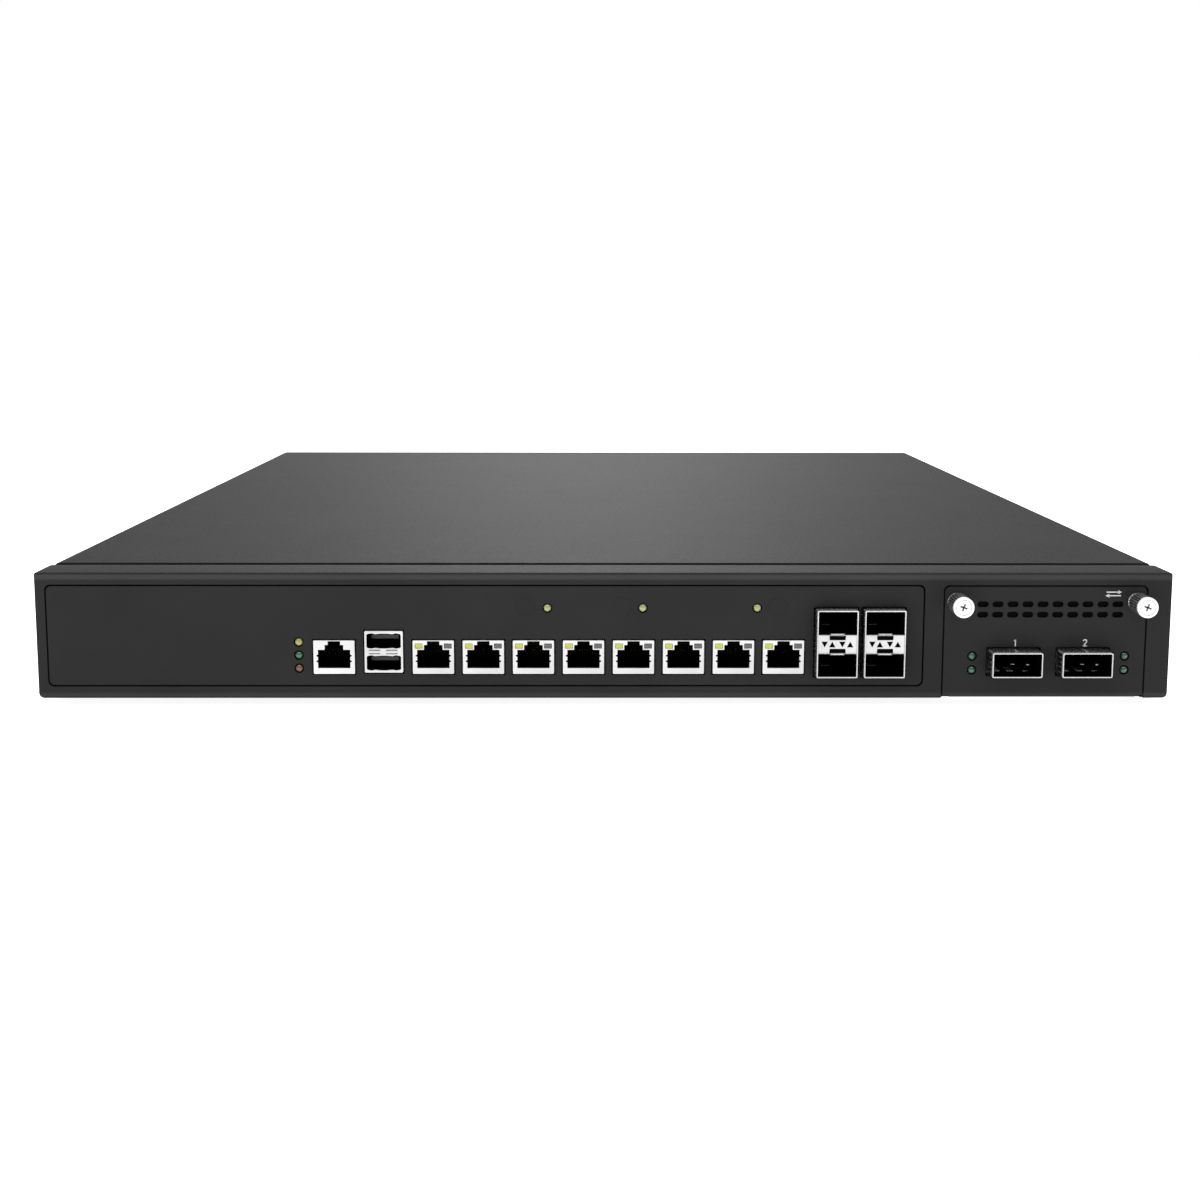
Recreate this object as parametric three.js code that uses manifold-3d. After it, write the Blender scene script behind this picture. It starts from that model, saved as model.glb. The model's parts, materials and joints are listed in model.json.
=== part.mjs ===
// Rack-height network firewall appliance with a slide-in port module. Millimetres, +Z up.
// The front faces -Y and +X is to the right when facing it. The origin is the middle of the
// bounding box's underside, on the surface that the four feet stand on.
// Inside the body group, y is the depth behind the bezel's front face and z is the height above
// the sheet-metal underside, so every piece is laid out from those two planes.

import * as THREE from "three";
import { mergeVertices } from "three/addons/utils/BufferGeometryUtils.js";
import Module from "manifold-3d";

const wasm = await Module();
wasm.setup();

// ------------------------------------------------------------------ driving dimensions

const BODY_W = 440;
const BODY_H = 49.4;
const BODY_D = 600;
const FOOT_H = 3;
const SHEET = 1.2; // thickness of the folded steel sheet
const GAP = 0.3; // clearance between neighbouring pieces
const SEAM = 0.44; // visible groove round the two front plates

const BEZEL_D = 27;
const BEZEL_WALL = 1.5;
const FACE_T = 2; // thickness of the bezel's face and of the front plates
const COVER_SLIT = 1.7; // gap between the bezel and the lid
const COVER_FLANGE = 14;
const TRAY_HALF_W = BODY_W / 2 - BEZEL_WALL - GAP;
const TRAY_H = BODY_H - BEZEL_WALL - GAP;

const PANEL_X = [-216, 124];
const PANEL_Z = [5, 44.5];
const MODULE_X = [131.8, 210.5];
const MODULE_Z = [0.4, 44.3];
const PLATE_R = 2; // corner radius of the front plates

const BOARD_TOP = 8.7;
const BOARD_T = 1.6;
const MODULE_BOARD_TOP = 9.3;

const JACK = { w: 16, h: 13.2, d: 23, z: 9.8, pitch: 19.44, firstX: -66.5, count: 8, proud: 0.4 };
const CONSOLE_X = -105;
const USB = { x: -85.7, z: 10.3, w: 14.9, h: 16.4, d: 17, portW: 12.8, portH: 5.4, wall: 1, proud: 0.4 };
const SFP = { w: 15.8, h: 26.4, d: 48, z: 9, xs: [90, 108.4], proud: 5, wall: 0.7, portH: 8.9 };
const QSFP = { w: 19.4, h: 9.7, d: 52, z: 9.65, xs: [159.3, 186.4], proud: 8, wall: 0.7 };
const CAGE_CLEARANCE = 0.9; // room in a front plate for the spring fingers round a cage

const LED_R = 1.5;
const LED_HOLE_R = 1.9;
const LED_PROUD = 0.6;
const STATUS_LED = { x: -118.7, zs: [12, 17.15, 22.3], names: ["bottom", "middle", "top"] };
const BYPASS_LED = { xs: [-22.2, 14.8, 59.2], z: 35.7 };
const MODULE_LED = { xs: { left: 143.2, right: 202.7 }, zs: [11.3, 16.8] };

const VENT = { w: 4.2, h: 2.15, firstX: 146.8, lastX: 199.3, count: 10, zs: [33.1, 37.2] };

const SCREW_X = { left: 136.4, right: 206.5 };
const SCREW_Z = 38.2;
const SCREW_TRAVEL = 4; // how far a thumbscrew comes out before it is free of its lug
const KNOB_R = 4;
const KNOB_OUT = 15;
const SHANK_R = 1.5;
const LUG_Y = [8, 8 + SCREW_TRAVEL]; // threaded lugs of the bezel that the thumbscrews engage

const BAY_Y = [14, 229];
const FAN = { size: 40, d: 28, bore: 18.7, hub: 10, z: 23.6, xs: [-160, -100, -40] };
const GUARD = { hub: 4, gap: 2.65, bar: 1.2 }; // a punched guard: its centre, its gaps and its bars
const BLADES = 7;
const PSU = { x: [118, 214], y: [408, BODY_D - SHEET - GAP], z: [2.2, 44.9] };
const PSU_FAN_X = 141;
const INLET = { x: 177, z: 23, w: 30, h: 24, recessW: 24.2, recessH: 16.6, recessD: 16 };
const ROCKER = { x: 202, w: 12, h: 20, swing: 20, crown: 1.2 };

// The rocker pivots in the plane of the rear wall, so its raised end stands this far behind it.
const ROCKER_TILT = THREE.MathUtils.degToRad(ROCKER.swing / 2);
const ROCKER_REACH = ROCKER.h / 2 - GAP;
const ROCKER_OUT = ROCKER.crown * Math.cos(ROCKER_TILT) + ROCKER_REACH * Math.sin(ROCKER_TILT);

const FRONT_Y = -(BODY_D + ROCKER_OUT - KNOB_OUT) / 2;
const ROUND = 16; // sides of a round piece
const FAN_SIDES = 20;
const SMALL_ROUND = 10;
const HALF_PI = Math.PI / 2;

// ------------------------------------------------------------------ solids

function solid(geometry) {
  const bare = geometry.clone();
  bare.deleteAttribute("normal");
  bare.deleteAttribute("uv");
  const merged = mergeVertices(bare, 1e-4);
  const corners = merged.index.array;
  const triangles = [];
  for (let i = 0; i < corners.length; i += 3) {
    const [a, b, c] = [corners[i], corners[i + 1], corners[i + 2]];
    if (a !== b && b !== c && c !== a) triangles.push(a, b, c);
  }
  const vertProperties = new Float32Array(merged.attributes.position.array);
  const triVerts = new Uint32Array(triangles);
  return new wasm.Manifold(new wasm.Mesh({ numProp: 3, vertProperties, triVerts }));
}

function geometryOf(shape) {
  const { vertProperties, triVerts } = shape.getMesh();
  const geometry = new THREE.BufferGeometry();
  geometry.setAttribute("position", new THREE.BufferAttribute(vertProperties, 3));
  geometry.setIndex(new THREE.BufferAttribute(triVerts, 1));
  const flat = geometry.toNonIndexed();
  flat.computeVertexNormals();
  return flat;
}

const join = (...shapes) => shapes.reduce((all, shape) => all.add(shape));
const cut = (shape, ...cutters) => cutters.reduce((left, cutter) => left.subtract(cutter), shape);
const grown = ([low, high], by) => [low - by, high + by];
const around = (middle, width) => [middle - width / 2, middle + width / 2];

function block(x, y, z) {
  const geometry = new THREE.BoxGeometry(x[1] - x[0], y[1] - y[0], z[1] - z[0]);
  return solid(geometry.translate((x[0] + x[1]) / 2, (y[0] + y[1]) / 2, (z[0] + z[1]) / 2));
}

// A round bar along Y through (x, z).
function barY(x, z, radius, y, sides = ROUND) {
  const geometry = new THREE.CylinderGeometry(radius, radius, y[1] - y[0], sides);
  return solid(geometry.translate(x, (y[0] + y[1]) / 2, z));
}

// A round bar along Z through (x, y), which may taper from its lower to its upper radius.
function barZ(x, y, radius, z, sides = ROUND, upperRadius = radius) {
  const geometry = new THREE.CylinderGeometry(upperRadius, radius, z[1] - z[0], sides);
  return solid(geometry.rotateX(HALF_PI).translate(x, y, (z[0] + z[1]) / 2));
}

// A rectangle whose corners can be rounded, counter-clockwise from the lower left.
function rectangle([x0, x1], [z0, z1], { bl = 0, br = 0, tr = 0, tl = 0 } = {}) {
  const shape = new THREE.Shape();
  shape.moveTo(x0 + bl, z0);
  shape.lineTo(x1 - br, z0);
  if (br) shape.absarc(x1 - br, z0 + br, br, -HALF_PI, 0, false);
  shape.lineTo(x1, z1 - tr);
  if (tr) shape.absarc(x1 - tr, z1 - tr, tr, 0, HALF_PI, false);
  shape.lineTo(x0 + tl, z1);
  if (tl) shape.absarc(x0 + tl, z1 - tl, tl, HALF_PI, Math.PI, false);
  shape.lineTo(x0, z0 + bl);
  if (bl) shape.absarc(x0 + bl, z0 + bl, bl, Math.PI, 3 * HALF_PI, false);
  return shape;
}

const rounded = (x, z, r) => rectangle(x, z, { bl: r, br: r, tr: r, tl: r });
const polygon = (points) => new THREE.Shape(points.map(([u, v]) => new THREE.Vector2(u, v)));

// An outline drawn in X and Z, made solid between two depths.
function plateY(shape, y, curveSegments = 4) {
  const options = { depth: y[1] - y[0], bevelEnabled: false, curveSegments };
  return solid(new THREE.ExtrudeGeometry(shape, options).rotateX(HALF_PI).translate(0, y[1], 0));
}

// An outline drawn in X and Y, made solid between two heights.
function plateZ(shape, z, curveSegments = 4) {
  const options = { depth: z[1] - z[0], bevelEnabled: false, curveSegments };
  return solid(new THREE.ExtrudeGeometry(shape, options).translate(0, 0, z[0]));
}

// A side profile drawn in Y and Z, made solid between two x positions.
function plateX(shape, x, curveSegments = 4) {
  const options = { depth: x[1] - x[0], bevelEnabled: false, curveSegments };
  const turn = new THREE.Matrix4().makeBasis(
    new THREE.Vector3(0, 1, 0),
    new THREE.Vector3(0, 0, 1),
    new THREE.Vector3(1, 0, 0),
  );
  return solid(new THREE.ExtrudeGeometry(shape, options).applyMatrix4(turn).translate(x[0], 0, 0));
}

// A body of revolution about Y, from [radius, y] points.
function turned(points, sides = ROUND) {
  const profile = points.map(([r, y]) => new THREE.Vector2(r, y));
  return solid(new THREE.LatheGeometry(profile, sides));
}

// Upright fins on a base plate, running along Y. x and z are the block's outer ranges.
function finnedBlock(x, y, z, base, fins, finT) {
  const pitch = (x[1] - x[0] - finT) / (fins - 1);
  const points = [[x[0], z[0]], [x[1], z[0]]];
  for (let i = fins - 1; i >= 0; i -= 1) {
    const left = x[0] + i * pitch;
    points.push([left + finT, z[0] + base], [left + finT, z[1]], [left, z[1]], [left, z[0] + base]);
  }
  const outline = points.filter(([u, v], i) => {
    const [pu, pv] = points[(i + points.length - 1) % points.length];
    return u !== pu || v !== pv;
  });
  return plateY(polygon(outline), y);
}

// ------------------------------------------------------------------ materials and nodes

function finish(color, roughness, metalness) {
  return new THREE.MeshStandardMaterial({ color, roughness, metalness });
}

const powderCoat = finish(0x343434, 0.5, 0.1);
const zincSteel = finish(0xb9bbbd, 0.45, 0.8);
const nickel = finish(0xe8e8e6, 0.25, 1);
const tinned = finish(0xe4e4e4, 0.35, 0.9);
const aluminium = finish(0xa8aaad, 0.4, 0.9);
const blackPlastic = finish(0x141414, 0.5, 0);
const greenBoard = finish(0x1f4a2e, 0.5, 0);
const rubber = finish(0x1b1b1b, 0.9, 0);
const cableSleeve = finish(0x222226, 0.7, 0);
const lamp = (color) => finish(color, 0.3, 0);

const root = new THREE.Group();
const body = new THREE.Group();
body.position.set(0, FRONT_Y, FOOT_H);
root.add(body);

function node(name, shape, material, [x, y, z] = [0, 0, 0], group = body) {
  const mesh = new THREE.Mesh(geometryOf(shape), material);
  mesh.name = name;
  mesh.position.set(x, y, z);
  group.add(mesh);
  return mesh;
}

// ------------------------------------------------------------------ enclosure

const FOOT_X = 190;
const FOOT_Y = { front: 60, rear: BODY_D - 60 };
const FEET = {
  front_left: [-FOOT_X, FOOT_Y.front],
  front_right: [FOOT_X, FOOT_Y.front],
  rear_left: [-FOOT_X, FOOT_Y.rear],
  rear_right: [FOOT_X, FOOT_Y.rear],
};
const FOOT_PEG_R = 2;

// Stand-offs under the board, in three rows, left out where the module bay and the feet need the room.
const STANDOFF_X = { left: -195, middle: -40, right: 112, tongue: 196 };
const STANDOFF_Y = { front: 40, middle: 170, rear: 300 };
const standoffsAt = (x, ...rows) => rows.map((row) => [STANDOFF_X[x], STANDOFF_Y[row]]);
const STANDOFFS = [
  ...standoffsAt("left", "front", "middle", "rear"),
  ...standoffsAt("middle", "front", "rear"),
  ...standoffsAt("right", "front", "middle", "rear"),
  ...standoffsAt("tongue", "rear"),
];

const VENT_SLOTS = 6;

function sideVents(sign) {
  const x = around(sign * TRAY_HALF_W, 6);
  const slots = [];
  for (let i = 0; i < VENT_SLOTS; i += 1) slots.push(block(x, around(110 + 16 * i, 6), [14, 30]));
  return join(...slots);
}

// The hole in the rear wall in front of a fan, with the punched guard left standing in it.
function fanGuardHole(x, y) {
  const mouth = FAN.bore - 0.5;
  const bars = [
    block(around(x, GUARD.bar), y, around(FAN.z, 2 * FAN.bore + 2)),
    block(around(x, 2 * FAN.bore + 2), y, around(FAN.z, GUARD.bar)),
    barY(x, FAN.z, GUARD.hub, y, 8),
  ];
  for (let r = GUARD.hub + GUARD.gap; r < mouth - GUARD.bar; r += GUARD.gap + GUARD.bar) {
    const inner = barY(x, FAN.z, r, y, SMALL_ROUND);
    bars.push(cut(barY(x, FAN.z, r + GUARD.bar, y, SMALL_ROUND), inner));
  }
  return cut(barY(x, FAN.z, mouth, y, FAN_SIDES), join(...bars));
}

function baseChassis() {
  const w = TRAY_HALF_W;
  const behindBezel = [BEZEL_D + GAP, BODY_D];
  const rearWall = [BODY_D - SHEET, BODY_D];
  const rearCut = grown(rearWall, 1);
  const panels = [
    block([-w, w], behindBezel, [0, SHEET]),
    block([-w, w], rearWall, [0, TRAY_H]),
    block([-w, w], [BEZEL_D - 7, BEZEL_D + 18], [TRAY_H - SHEET, TRAY_H]),
  ];
  for (const side of [[-w, -w + SHEET], [w - SHEET, w]]) {
    panels.push(block(side, behindBezel, [0, TRAY_H]));
    panels.push(block(side, [10, BEZEL_D + 1], [4, TRAY_H]));
  }
  for (const [x, y] of STANDOFFS) {
    panels.push(barZ(x, y, 2.5, [SHEET / 2, BOARD_TOP - BOARD_T - GAP], 8));
  }
  const holes = [sideVents(-1), sideVents(1)];
  for (const x of FAN.xs) holes.push(fanGuardHole(x, rearCut));
  holes.push(block(grown(PSU.x, -3), rearCut, grown(PSU.z, -3)));
  for (const [x, y] of Object.values(FEET)) {
    holes.push(barZ(x, y, FOOT_PEG_R + GAP, [-1, SHEET + 1], SMALL_ROUND));
  }
  return cut(join(...panels), ...holes);
}

function topCover() {
  const half = BODY_W / 2;
  const y = [BEZEL_D + COVER_SLIT, BODY_D];
  const top = block([-half, half], y, [BODY_H - SHEET, BODY_H]);
  const side = (x) => block(x, y, [BODY_H - COVER_FLANGE, BODY_H]);
  return join(top, side([-half, -half + SHEET]), side([half - SHEET, half]));
}

const panelWindow = rounded(grown(PANEL_X, SEAM / 2), grown(PANEL_Z, SEAM / 2), PLATE_R);
const moduleTop = { tr: PLATE_R, tl: PLATE_R };
const moduleWindow = rectangle(grown(MODULE_X, SEAM / 2), [-1, MODULE_Z[1] + SEAM / 2], moduleTop);

function frontBezel() {
  const half = BODY_W / 2;
  const outline = rectangle([-half, half], [0, BODY_H], { bl: 2.2, br: 2.2, tr: 1, tl: 1 });
  const profile = rectangle([0, BEZEL_D], [0, BODY_H], { tl: 2.5, bl: 1 });
  const full = plateY(outline, [0, BEZEL_D]).intersect(plateX(profile, [-half, half]));
  const innerX = [-half + BEZEL_WALL, half - BEZEL_WALL];
  const innerZ = [BEZEL_WALL, BODY_H - BEZEL_WALL];
  const shell = cut(
    full,
    block(innerX, [FACE_T, BEZEL_D + 1], innerZ),
    plateY(panelWindow, [-1, FACE_T + 1]),
  );
  // A ledge behind the module's plate and one threaded lug for each thumbscrew.
  const ledgeY = [FACE_T / 2, FACE_T + GAP + 2];
  const ledge = block([MODULE_X[0] - 4, MODULE_X[1] + 4], ledgeY, [0.5, BODY_H - BEZEL_WALL / 2]);
  const lugs = Object.values(SCREW_X).map((x) => {
    const tab = block(around(x, 9), LUG_Y, [SCREW_Z - 4.5, BODY_H - BEZEL_WALL / 2]);
    return cut(tab, barY(x, SCREW_Z, SHANK_R + GAP, grown(LUG_Y, 1), ROUND));
  });
  const opening = [SCREW_X.left - 3.2, SCREW_X.right + 3.2];
  const bezel = cut(
    join(shell, ledge),
    plateY(moduleWindow, [-1, FACE_T + GAP]),
    block(opening, grown(ledgeY, 1), [-1, MODULE_Z[1] - 1]),
    block(MODULE_X, [-1, BEZEL_D + 1], [-1, BEZEL_WALL + 0.5]),
  );
  return join(bezel, ...lugs);
}

function rectangularHole(centre, width, z, height, y) {
  return block(around(centre, width + 2 * GAP), y, grown([z, z + height], GAP));
}

const jackXs = Array.from({ length: JACK.count }, (_, i) => JACK.firstX + i * JACK.pitch);

function frontPanel() {
  const back = FACE_T + GAP + SHEET;
  const y = [-1, back + 1];
  const face = plateY(rounded(grown(PANEL_X, -SEAM / 2), grown(PANEL_Z, -SEAM / 2), PLATE_R), [0, back]);
  const backX = [-BODY_W / 2 + BEZEL_WALL + GAP, PANEL_X[1] + 1.5];
  const backZ = [BEZEL_WALL + GAP, BODY_H - BEZEL_WALL - GAP];
  const backing = block(backX, [FACE_T + GAP, back], backZ);
  const flange = (z) => block(grown(PANEL_X, -4), [back - 0.5, back + 7], [z, z + SHEET]);
  const holes = [CONSOLE_X, ...jackXs].map((x) => rectangularHole(x, JACK.w, JACK.z, JACK.h, y));
  holes.push(rectangularHole(USB.x, USB.w, USB.z, USB.h, y));
  for (const x of SFP.xs) {
    const wide = SFP.w + 2 * CAGE_CLEARANCE - 2 * GAP;
    holes.push(rectangularHole(x, wide, SFP.z - 0.4, SFP.h + 0.8, y));
  }
  for (const z of STATUS_LED.zs) holes.push(barY(STATUS_LED.x, z, LED_HOLE_R, y, SMALL_ROUND));
  for (const x of BYPASS_LED.xs) holes.push(barY(x, BYPASS_LED.z, LED_HOLE_R, y, SMALL_ROUND));
  return cut(join(face, backing, flange(backZ[0]), flange(backZ[1] - SHEET)), ...holes);
}

function rubberFoot() {
  const disc = barZ(0, 0, 8, [-FOOT_H, -GAP], ROUND, 9);
  return join(disc, barZ(0, 0, FOOT_PEG_R, [-FOOT_H / 2, SHEET + 0.6], SMALL_ROUND));
}

node("base_chassis", baseChassis(), zincSteel);
node("top_cover", topCover(), powderCoat);
node("front_bezel", frontBezel(), powderCoat);
node("front_panel", frontPanel(), powderCoat);
for (const [place, [x, y]] of Object.entries(FEET)) {
  node("foot_" + place, rubberFoot(), rubber, [x, y, 0]);
}

// ------------------------------------------------------------------ front connectors and lamps

// An eight-way jack with the stepped opening that its plug's latch needs.
function modularJack() {
  const [lip, low, mid, high] = [2.3, 7.2, 1.9, 1.3];
  const [half, latch, neck] = [6.1, 3.5, 2.3];
  const opening = polygon([
    [-half, lip], [half, lip], [half, lip + low], [latch, lip + low], [latch, lip + low + mid],
    [neck, lip + low + mid], [neck, lip + low + mid + high], [-neck, lip + low + mid + high],
    [-neck, lip + low + mid], [-latch, lip + low + mid], [-latch, lip + low], [-half, lip + low],
  ]);
  const can = block(around(0, JACK.w), [-JACK.proud, JACK.d], [0, JACK.h]);
  const foot = block(around(0, JACK.w - 1), [6, JACK.d - 1], [BOARD_TOP + GAP - JACK.z, 0.5]);
  return join(cut(can, plateY(opening, [-1, JACK.d - 6])), foot);
}

const usbPortZs = [USB.wall, USB.h - USB.wall - USB.portH];

function usbShell() {
  const can = block(around(0, USB.w), [-USB.proud, USB.d], [0, USB.h]);
  const ports = usbPortZs.map((z) => block(around(0, USB.portW), [-1, USB.d - 3], [z, z + USB.portH]));
  const back = block(around(0, USB.portW), [USB.d - 4, USB.d + 1], [USB.wall, USB.h - USB.wall]);
  const foot = block(around(0, USB.w), [7, USB.d], [BOARD_TOP + GAP - USB.z, 0.5]);
  return join(cut(can, ...ports, back), foot);
}

function usbTongues() {
  const coreZ = grown([USB.wall, USB.h - USB.wall], -0.5);
  const core = block(around(0, USB.portW - 1), [USB.d - 3.6, USB.d], coreZ);
  const tongues = usbPortZs.map((z) => block(around(0, 11), [3, USB.d - 3], [z + 2.6, z + 4.4]));
  return join(core, ...tongues);
}

function stackedCage() {
  const y = [-SFP.proud, SFP.d - SFP.proud];
  const port = (z) => block(around(0, SFP.w - 2 * SFP.wall), [y[0] - 1, y[1] - 4], [z, z + SFP.portH]);
  return cut(block(around(0, SFP.w), y, [0, SFP.h]), port(SFP.wall), port(SFP.h - SFP.wall - SFP.portH));
}

function singleCage() {
  const y = [-QSFP.proud, QSFP.d - QSFP.proud];
  const portX = around(0, QSFP.w - 2 * QSFP.wall);
  const port = block(portX, [y[0] - 1, y[1] - 4], grown([0, QSFP.h], -QSFP.wall));
  return cut(block(around(0, QSFP.w), y, [0, QSFP.h]), port);
}

// A round lamp with a domed nose, its axis at x = z = 0 and its nose a little proud of the plate.
function lampDome(depth) {
  const points = [[0, -LED_PROUD]];
  for (let i = 1; i <= 3; i += 1) {
    const turn = (i / 3) * HALF_PI;
    points.push([LED_R * Math.sin(turn), LED_R - LED_PROUD - LED_R * Math.cos(turn)]);
  }
  points.push([LED_R, depth], [0, depth]);
  return turned(points, SMALL_ROUND);
}

const holderY = [FACE_T + SHEET + 1.5, 9];

function stackedLamp(z, isLowest) {
  const holderZ = isLowest ? [BOARD_TOP + GAP - z, 2.4] : [-2.4, 2.4];
  return join(lampDome(holderY[0] + 1), block(around(0, 4.4), holderY, holderZ));
}

function lightPipe() {
  const post = block(around(0, 3), [JACK.d + 1.5, JACK.d + 5], [BOARD_TOP + GAP - BYPASS_LED.z, LED_R]);
  return join(lampDome(JACK.d + 3), post);
}

function moduleLampPair() {
  const [low, high] = MODULE_LED.zs;
  const holder = block(around(0, 4.2), holderY, [MODULE_BOARD_TOP + GAP, high + 2.4]);
  const dome = (z) => lampDome(holderY[0] + 1).translate(0, 0, z);
  return join(holder, dome(low), dome(high));
}

node("console_jack", modularJack(), tinned, [CONSOLE_X, 0, JACK.z]);
jackXs.forEach((x, i) => node("lan_jack_" + (i + 1), modularJack(), tinned, [x, 0, JACK.z]));
node("usb_shell", usbShell(), tinned, [USB.x, 0, USB.z]);
node("usb_tongues", usbTongues(), blackPlastic, [USB.x, 0, USB.z]);
["left", "right"].forEach((side, i) => {
  node("sfp_cage_" + side, stackedCage(), tinned, [SFP.xs[i], 0, SFP.z]);
});
const statusColours = [lamp(0x7a3b2a), lamp(0x2f6b3c), lamp(0xc9b63a)];
STATUS_LED.names.forEach((name, i) => {
  const z = STATUS_LED.zs[i];
  node("status_led_" + name, stackedLamp(z, i === 0), statusColours[i], [STATUS_LED.x, 0, z]);
});
BYPASS_LED.xs.forEach((x, i) => {
  node("bypass_led_" + (i + 1), lightPipe(), lamp(0xd6d27a), [x, 0, BYPASS_LED.z]);
});

// ------------------------------------------------------------------ electronics in the tray

const HEATSINK = { x: [-75, 15], y: [120, 210], z: [12.3, 40] };
const MEMORY = { x: [-185, -117.4], ys: [[120, 150], [162, 192]], z: 14.4 };
const TONGUE_Y = [236, 311]; // the board's tongue behind the module bay
const DRIVE = { x: [-172, -102.15], y: [315.3, 415.3], z: [8.5, 15.5] };
const PLUG = { x: [58, 110], y: [291, 301], top: 30 };

function mainboard() {
  const z = [BOARD_TOP - BOARD_T, BOARD_TOP];
  const plan = polygon([
    [-207, 6], [123, 6], [123, TONGUE_Y[0]], [208, TONGUE_Y[0]], [208, 311], [-207, 311],
  ]);
  const on = (x, y, top) => block(x, y, [BOARD_TOP - 0.5, top]);
  const parts = [
    plateZ(plan, z),
    on(around(-30, 37), around(165, 37), 12), // processor package
    on(around(70, 25), around(170, 25), 16), // network controller
    on(around(70, 25), around(100, 25), 16),
    on(around(-30, 20), around(255, 20), 12),
    on(PLUG.x, PLUG.y, BOARD_TOP + 8), // power header
    on(around(-137, 44), [303, 314.8], 14), // drive receptacle
    barZ(-185, 235, 10, [BOARD_TOP - 0.5, BOARD_TOP + 4], 16), // clock battery
  ];
  for (const y of MEMORY.ys) {
    parts.push(on([MEMORY.x[0] - 3, MEMORY.x[1] + 3], [y[1] - 3, y[1] + 5], MEMORY.z - GAP));
  }
  for (let i = 0; i < 6; i += 1) {
    parts.push(on(around(-30 + 14 * (i - 2.5), 9), around(228, 9), 14)); // power inductors
    parts.push(barZ(-70 + 14 * i, 275, 4, [BOARD_TOP - 0.5, BOARD_TOP + 9], 8)); // capacitors
  }
  return join(...parts);
}

function memoryModule(y) {
  const board = block(MEMORY.x, y, [MEMORY.z, MEMORY.z + 1.1]);
  const chips = [0, 1, 2, 3].map((i) => {
    const x = MEMORY.x[0] + 10 + 15.9 * i;
    return block(around(x, 10), around((y[0] + y[1]) / 2 - 2, 13), [MEMORY.z + 0.5, MEMORY.z + 2.2]);
  });
  return join(board, ...chips);
}

function driveBracket() {
  const x = grown(DRIVE.x, 4);
  const y = [DRIVE.y[0] + 5, DRIVE.y[1] + 5];
  const top = DRIVE.z[0] - GAP;
  const leg = (side) => block(side, y, [SHEET + GAP, top]);
  return join(block(x, y, [top - SHEET, top]), leg([x[0], x[0] + SHEET]), leg([x[1] - SHEET, x[1]]));
}

// The lead from the power supply to its header on the board, with its plug.
function powerHarness() {
  const middle = (PLUG.x[0] + PLUG.x[1]) / 2;
  const route = new THREE.CatmullRomCurve3([
    new THREE.Vector3(150, PSU.y[0] - GAP, 22),
    new THREE.Vector3(149, PSU.y[0] - 18, 22),
    new THREE.Vector3(132, 360, 27),
    new THREE.Vector3(102, 325, 36),
    new THREE.Vector3(middle + 2, 301, 37),
    new THREE.Vector3(middle, 296, PLUG.top - 1),
  ]);
  const section = new THREE.Shape().absarc(0, 0, 3.6, 0, 2 * Math.PI, false);
  const options = { steps: 16, extrudePath: route, curveSegments: 4 };
  const lead = solid(new THREE.ExtrudeGeometry(section, options));
  return join(lead, block(PLUG.x, PLUG.y, [BOARD_TOP + 8 + GAP, PLUG.top]));
}

node("mainboard", mainboard(), greenBoard);
node("cpu_heatsink", finnedBlock(HEATSINK.x, HEATSINK.y, HEATSINK.z, 4, 20, 1.4), aluminium);
MEMORY.ys.forEach((y, i) => node("memory_module_" + (i + 1), memoryModule(y), greenBoard));
node("storage_drive", block(DRIVE.x, DRIVE.y, DRIVE.z), aluminium);
node("drive_bracket", driveBracket(), zincSteel);
node("power_harness", powerHarness(), cableSleeve);

// ------------------------------------------------------------------ fans

function squareFanFrame() {
  const half = FAN.size / 2;
  const y = [0, FAN.d];
  const outer = plateY(rounded([-half, half], [-half, half], 3), y, 1);
  const bore = barY(0, 0, FAN.bore, grown(y, 1), FAN_SIDES);
  const strutY = [FAN.d - 3, FAN.d];
  const diagonal = 2 * FAN.bore + 1;
  const struts = [1, 3].map((quarter) => {
    return block(around(0, diagonal), strutY, around(0, 2)).rotate(0, 45 * quarter, 0);
  });
  return join(cut(outer, bore), barY(0, 0, FAN.hub, strutY), ...struts);
}

function fanRotor() {
  const tip = FAN.bore - 0.8;
  const y = [2, FAN.d - 3.6];
  const depth = y[1] - y[0];
  const blades = Array.from({ length: BLADES }, (_, i) => {
    const blade = block([0, tip + 1], around(0, depth + 6), around(0, 1.2));
    const pitched = blade.rotate(38, 0, 0).translate(0, (y[0] + y[1]) / 2, 0);
    return pitched.rotate(0, (360 * i) / BLADES, 0);
  });
  const swept = barY(0, 0, tip, [y[0] + 1, y[1] - 1], FAN_SIDES);
  return join(join(...blades).intersect(swept), barY(0, 0, FAN.hub, y));
}

const fanPlaces = FAN.xs.map((x) => [x, BODY_D - SHEET - GAP - FAN.d, FAN.z]);
fanPlaces.forEach((place, i) => {
  node("fan_frame_" + (i + 1), squareFanFrame(), blackPlastic, place);
  node("fan_rotor_" + (i + 1), fanRotor(), blackPlastic, place);
});

// ------------------------------------------------------------------ power supply

const psuFanPlace = [PSU_FAN_X, PSU.y[1] - 1 - GAP - FAN.d, FAN.z];
const inletDeck = PSU.y[1] + GAP; // where the inlet's flange sits on the supply's rear wall

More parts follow.
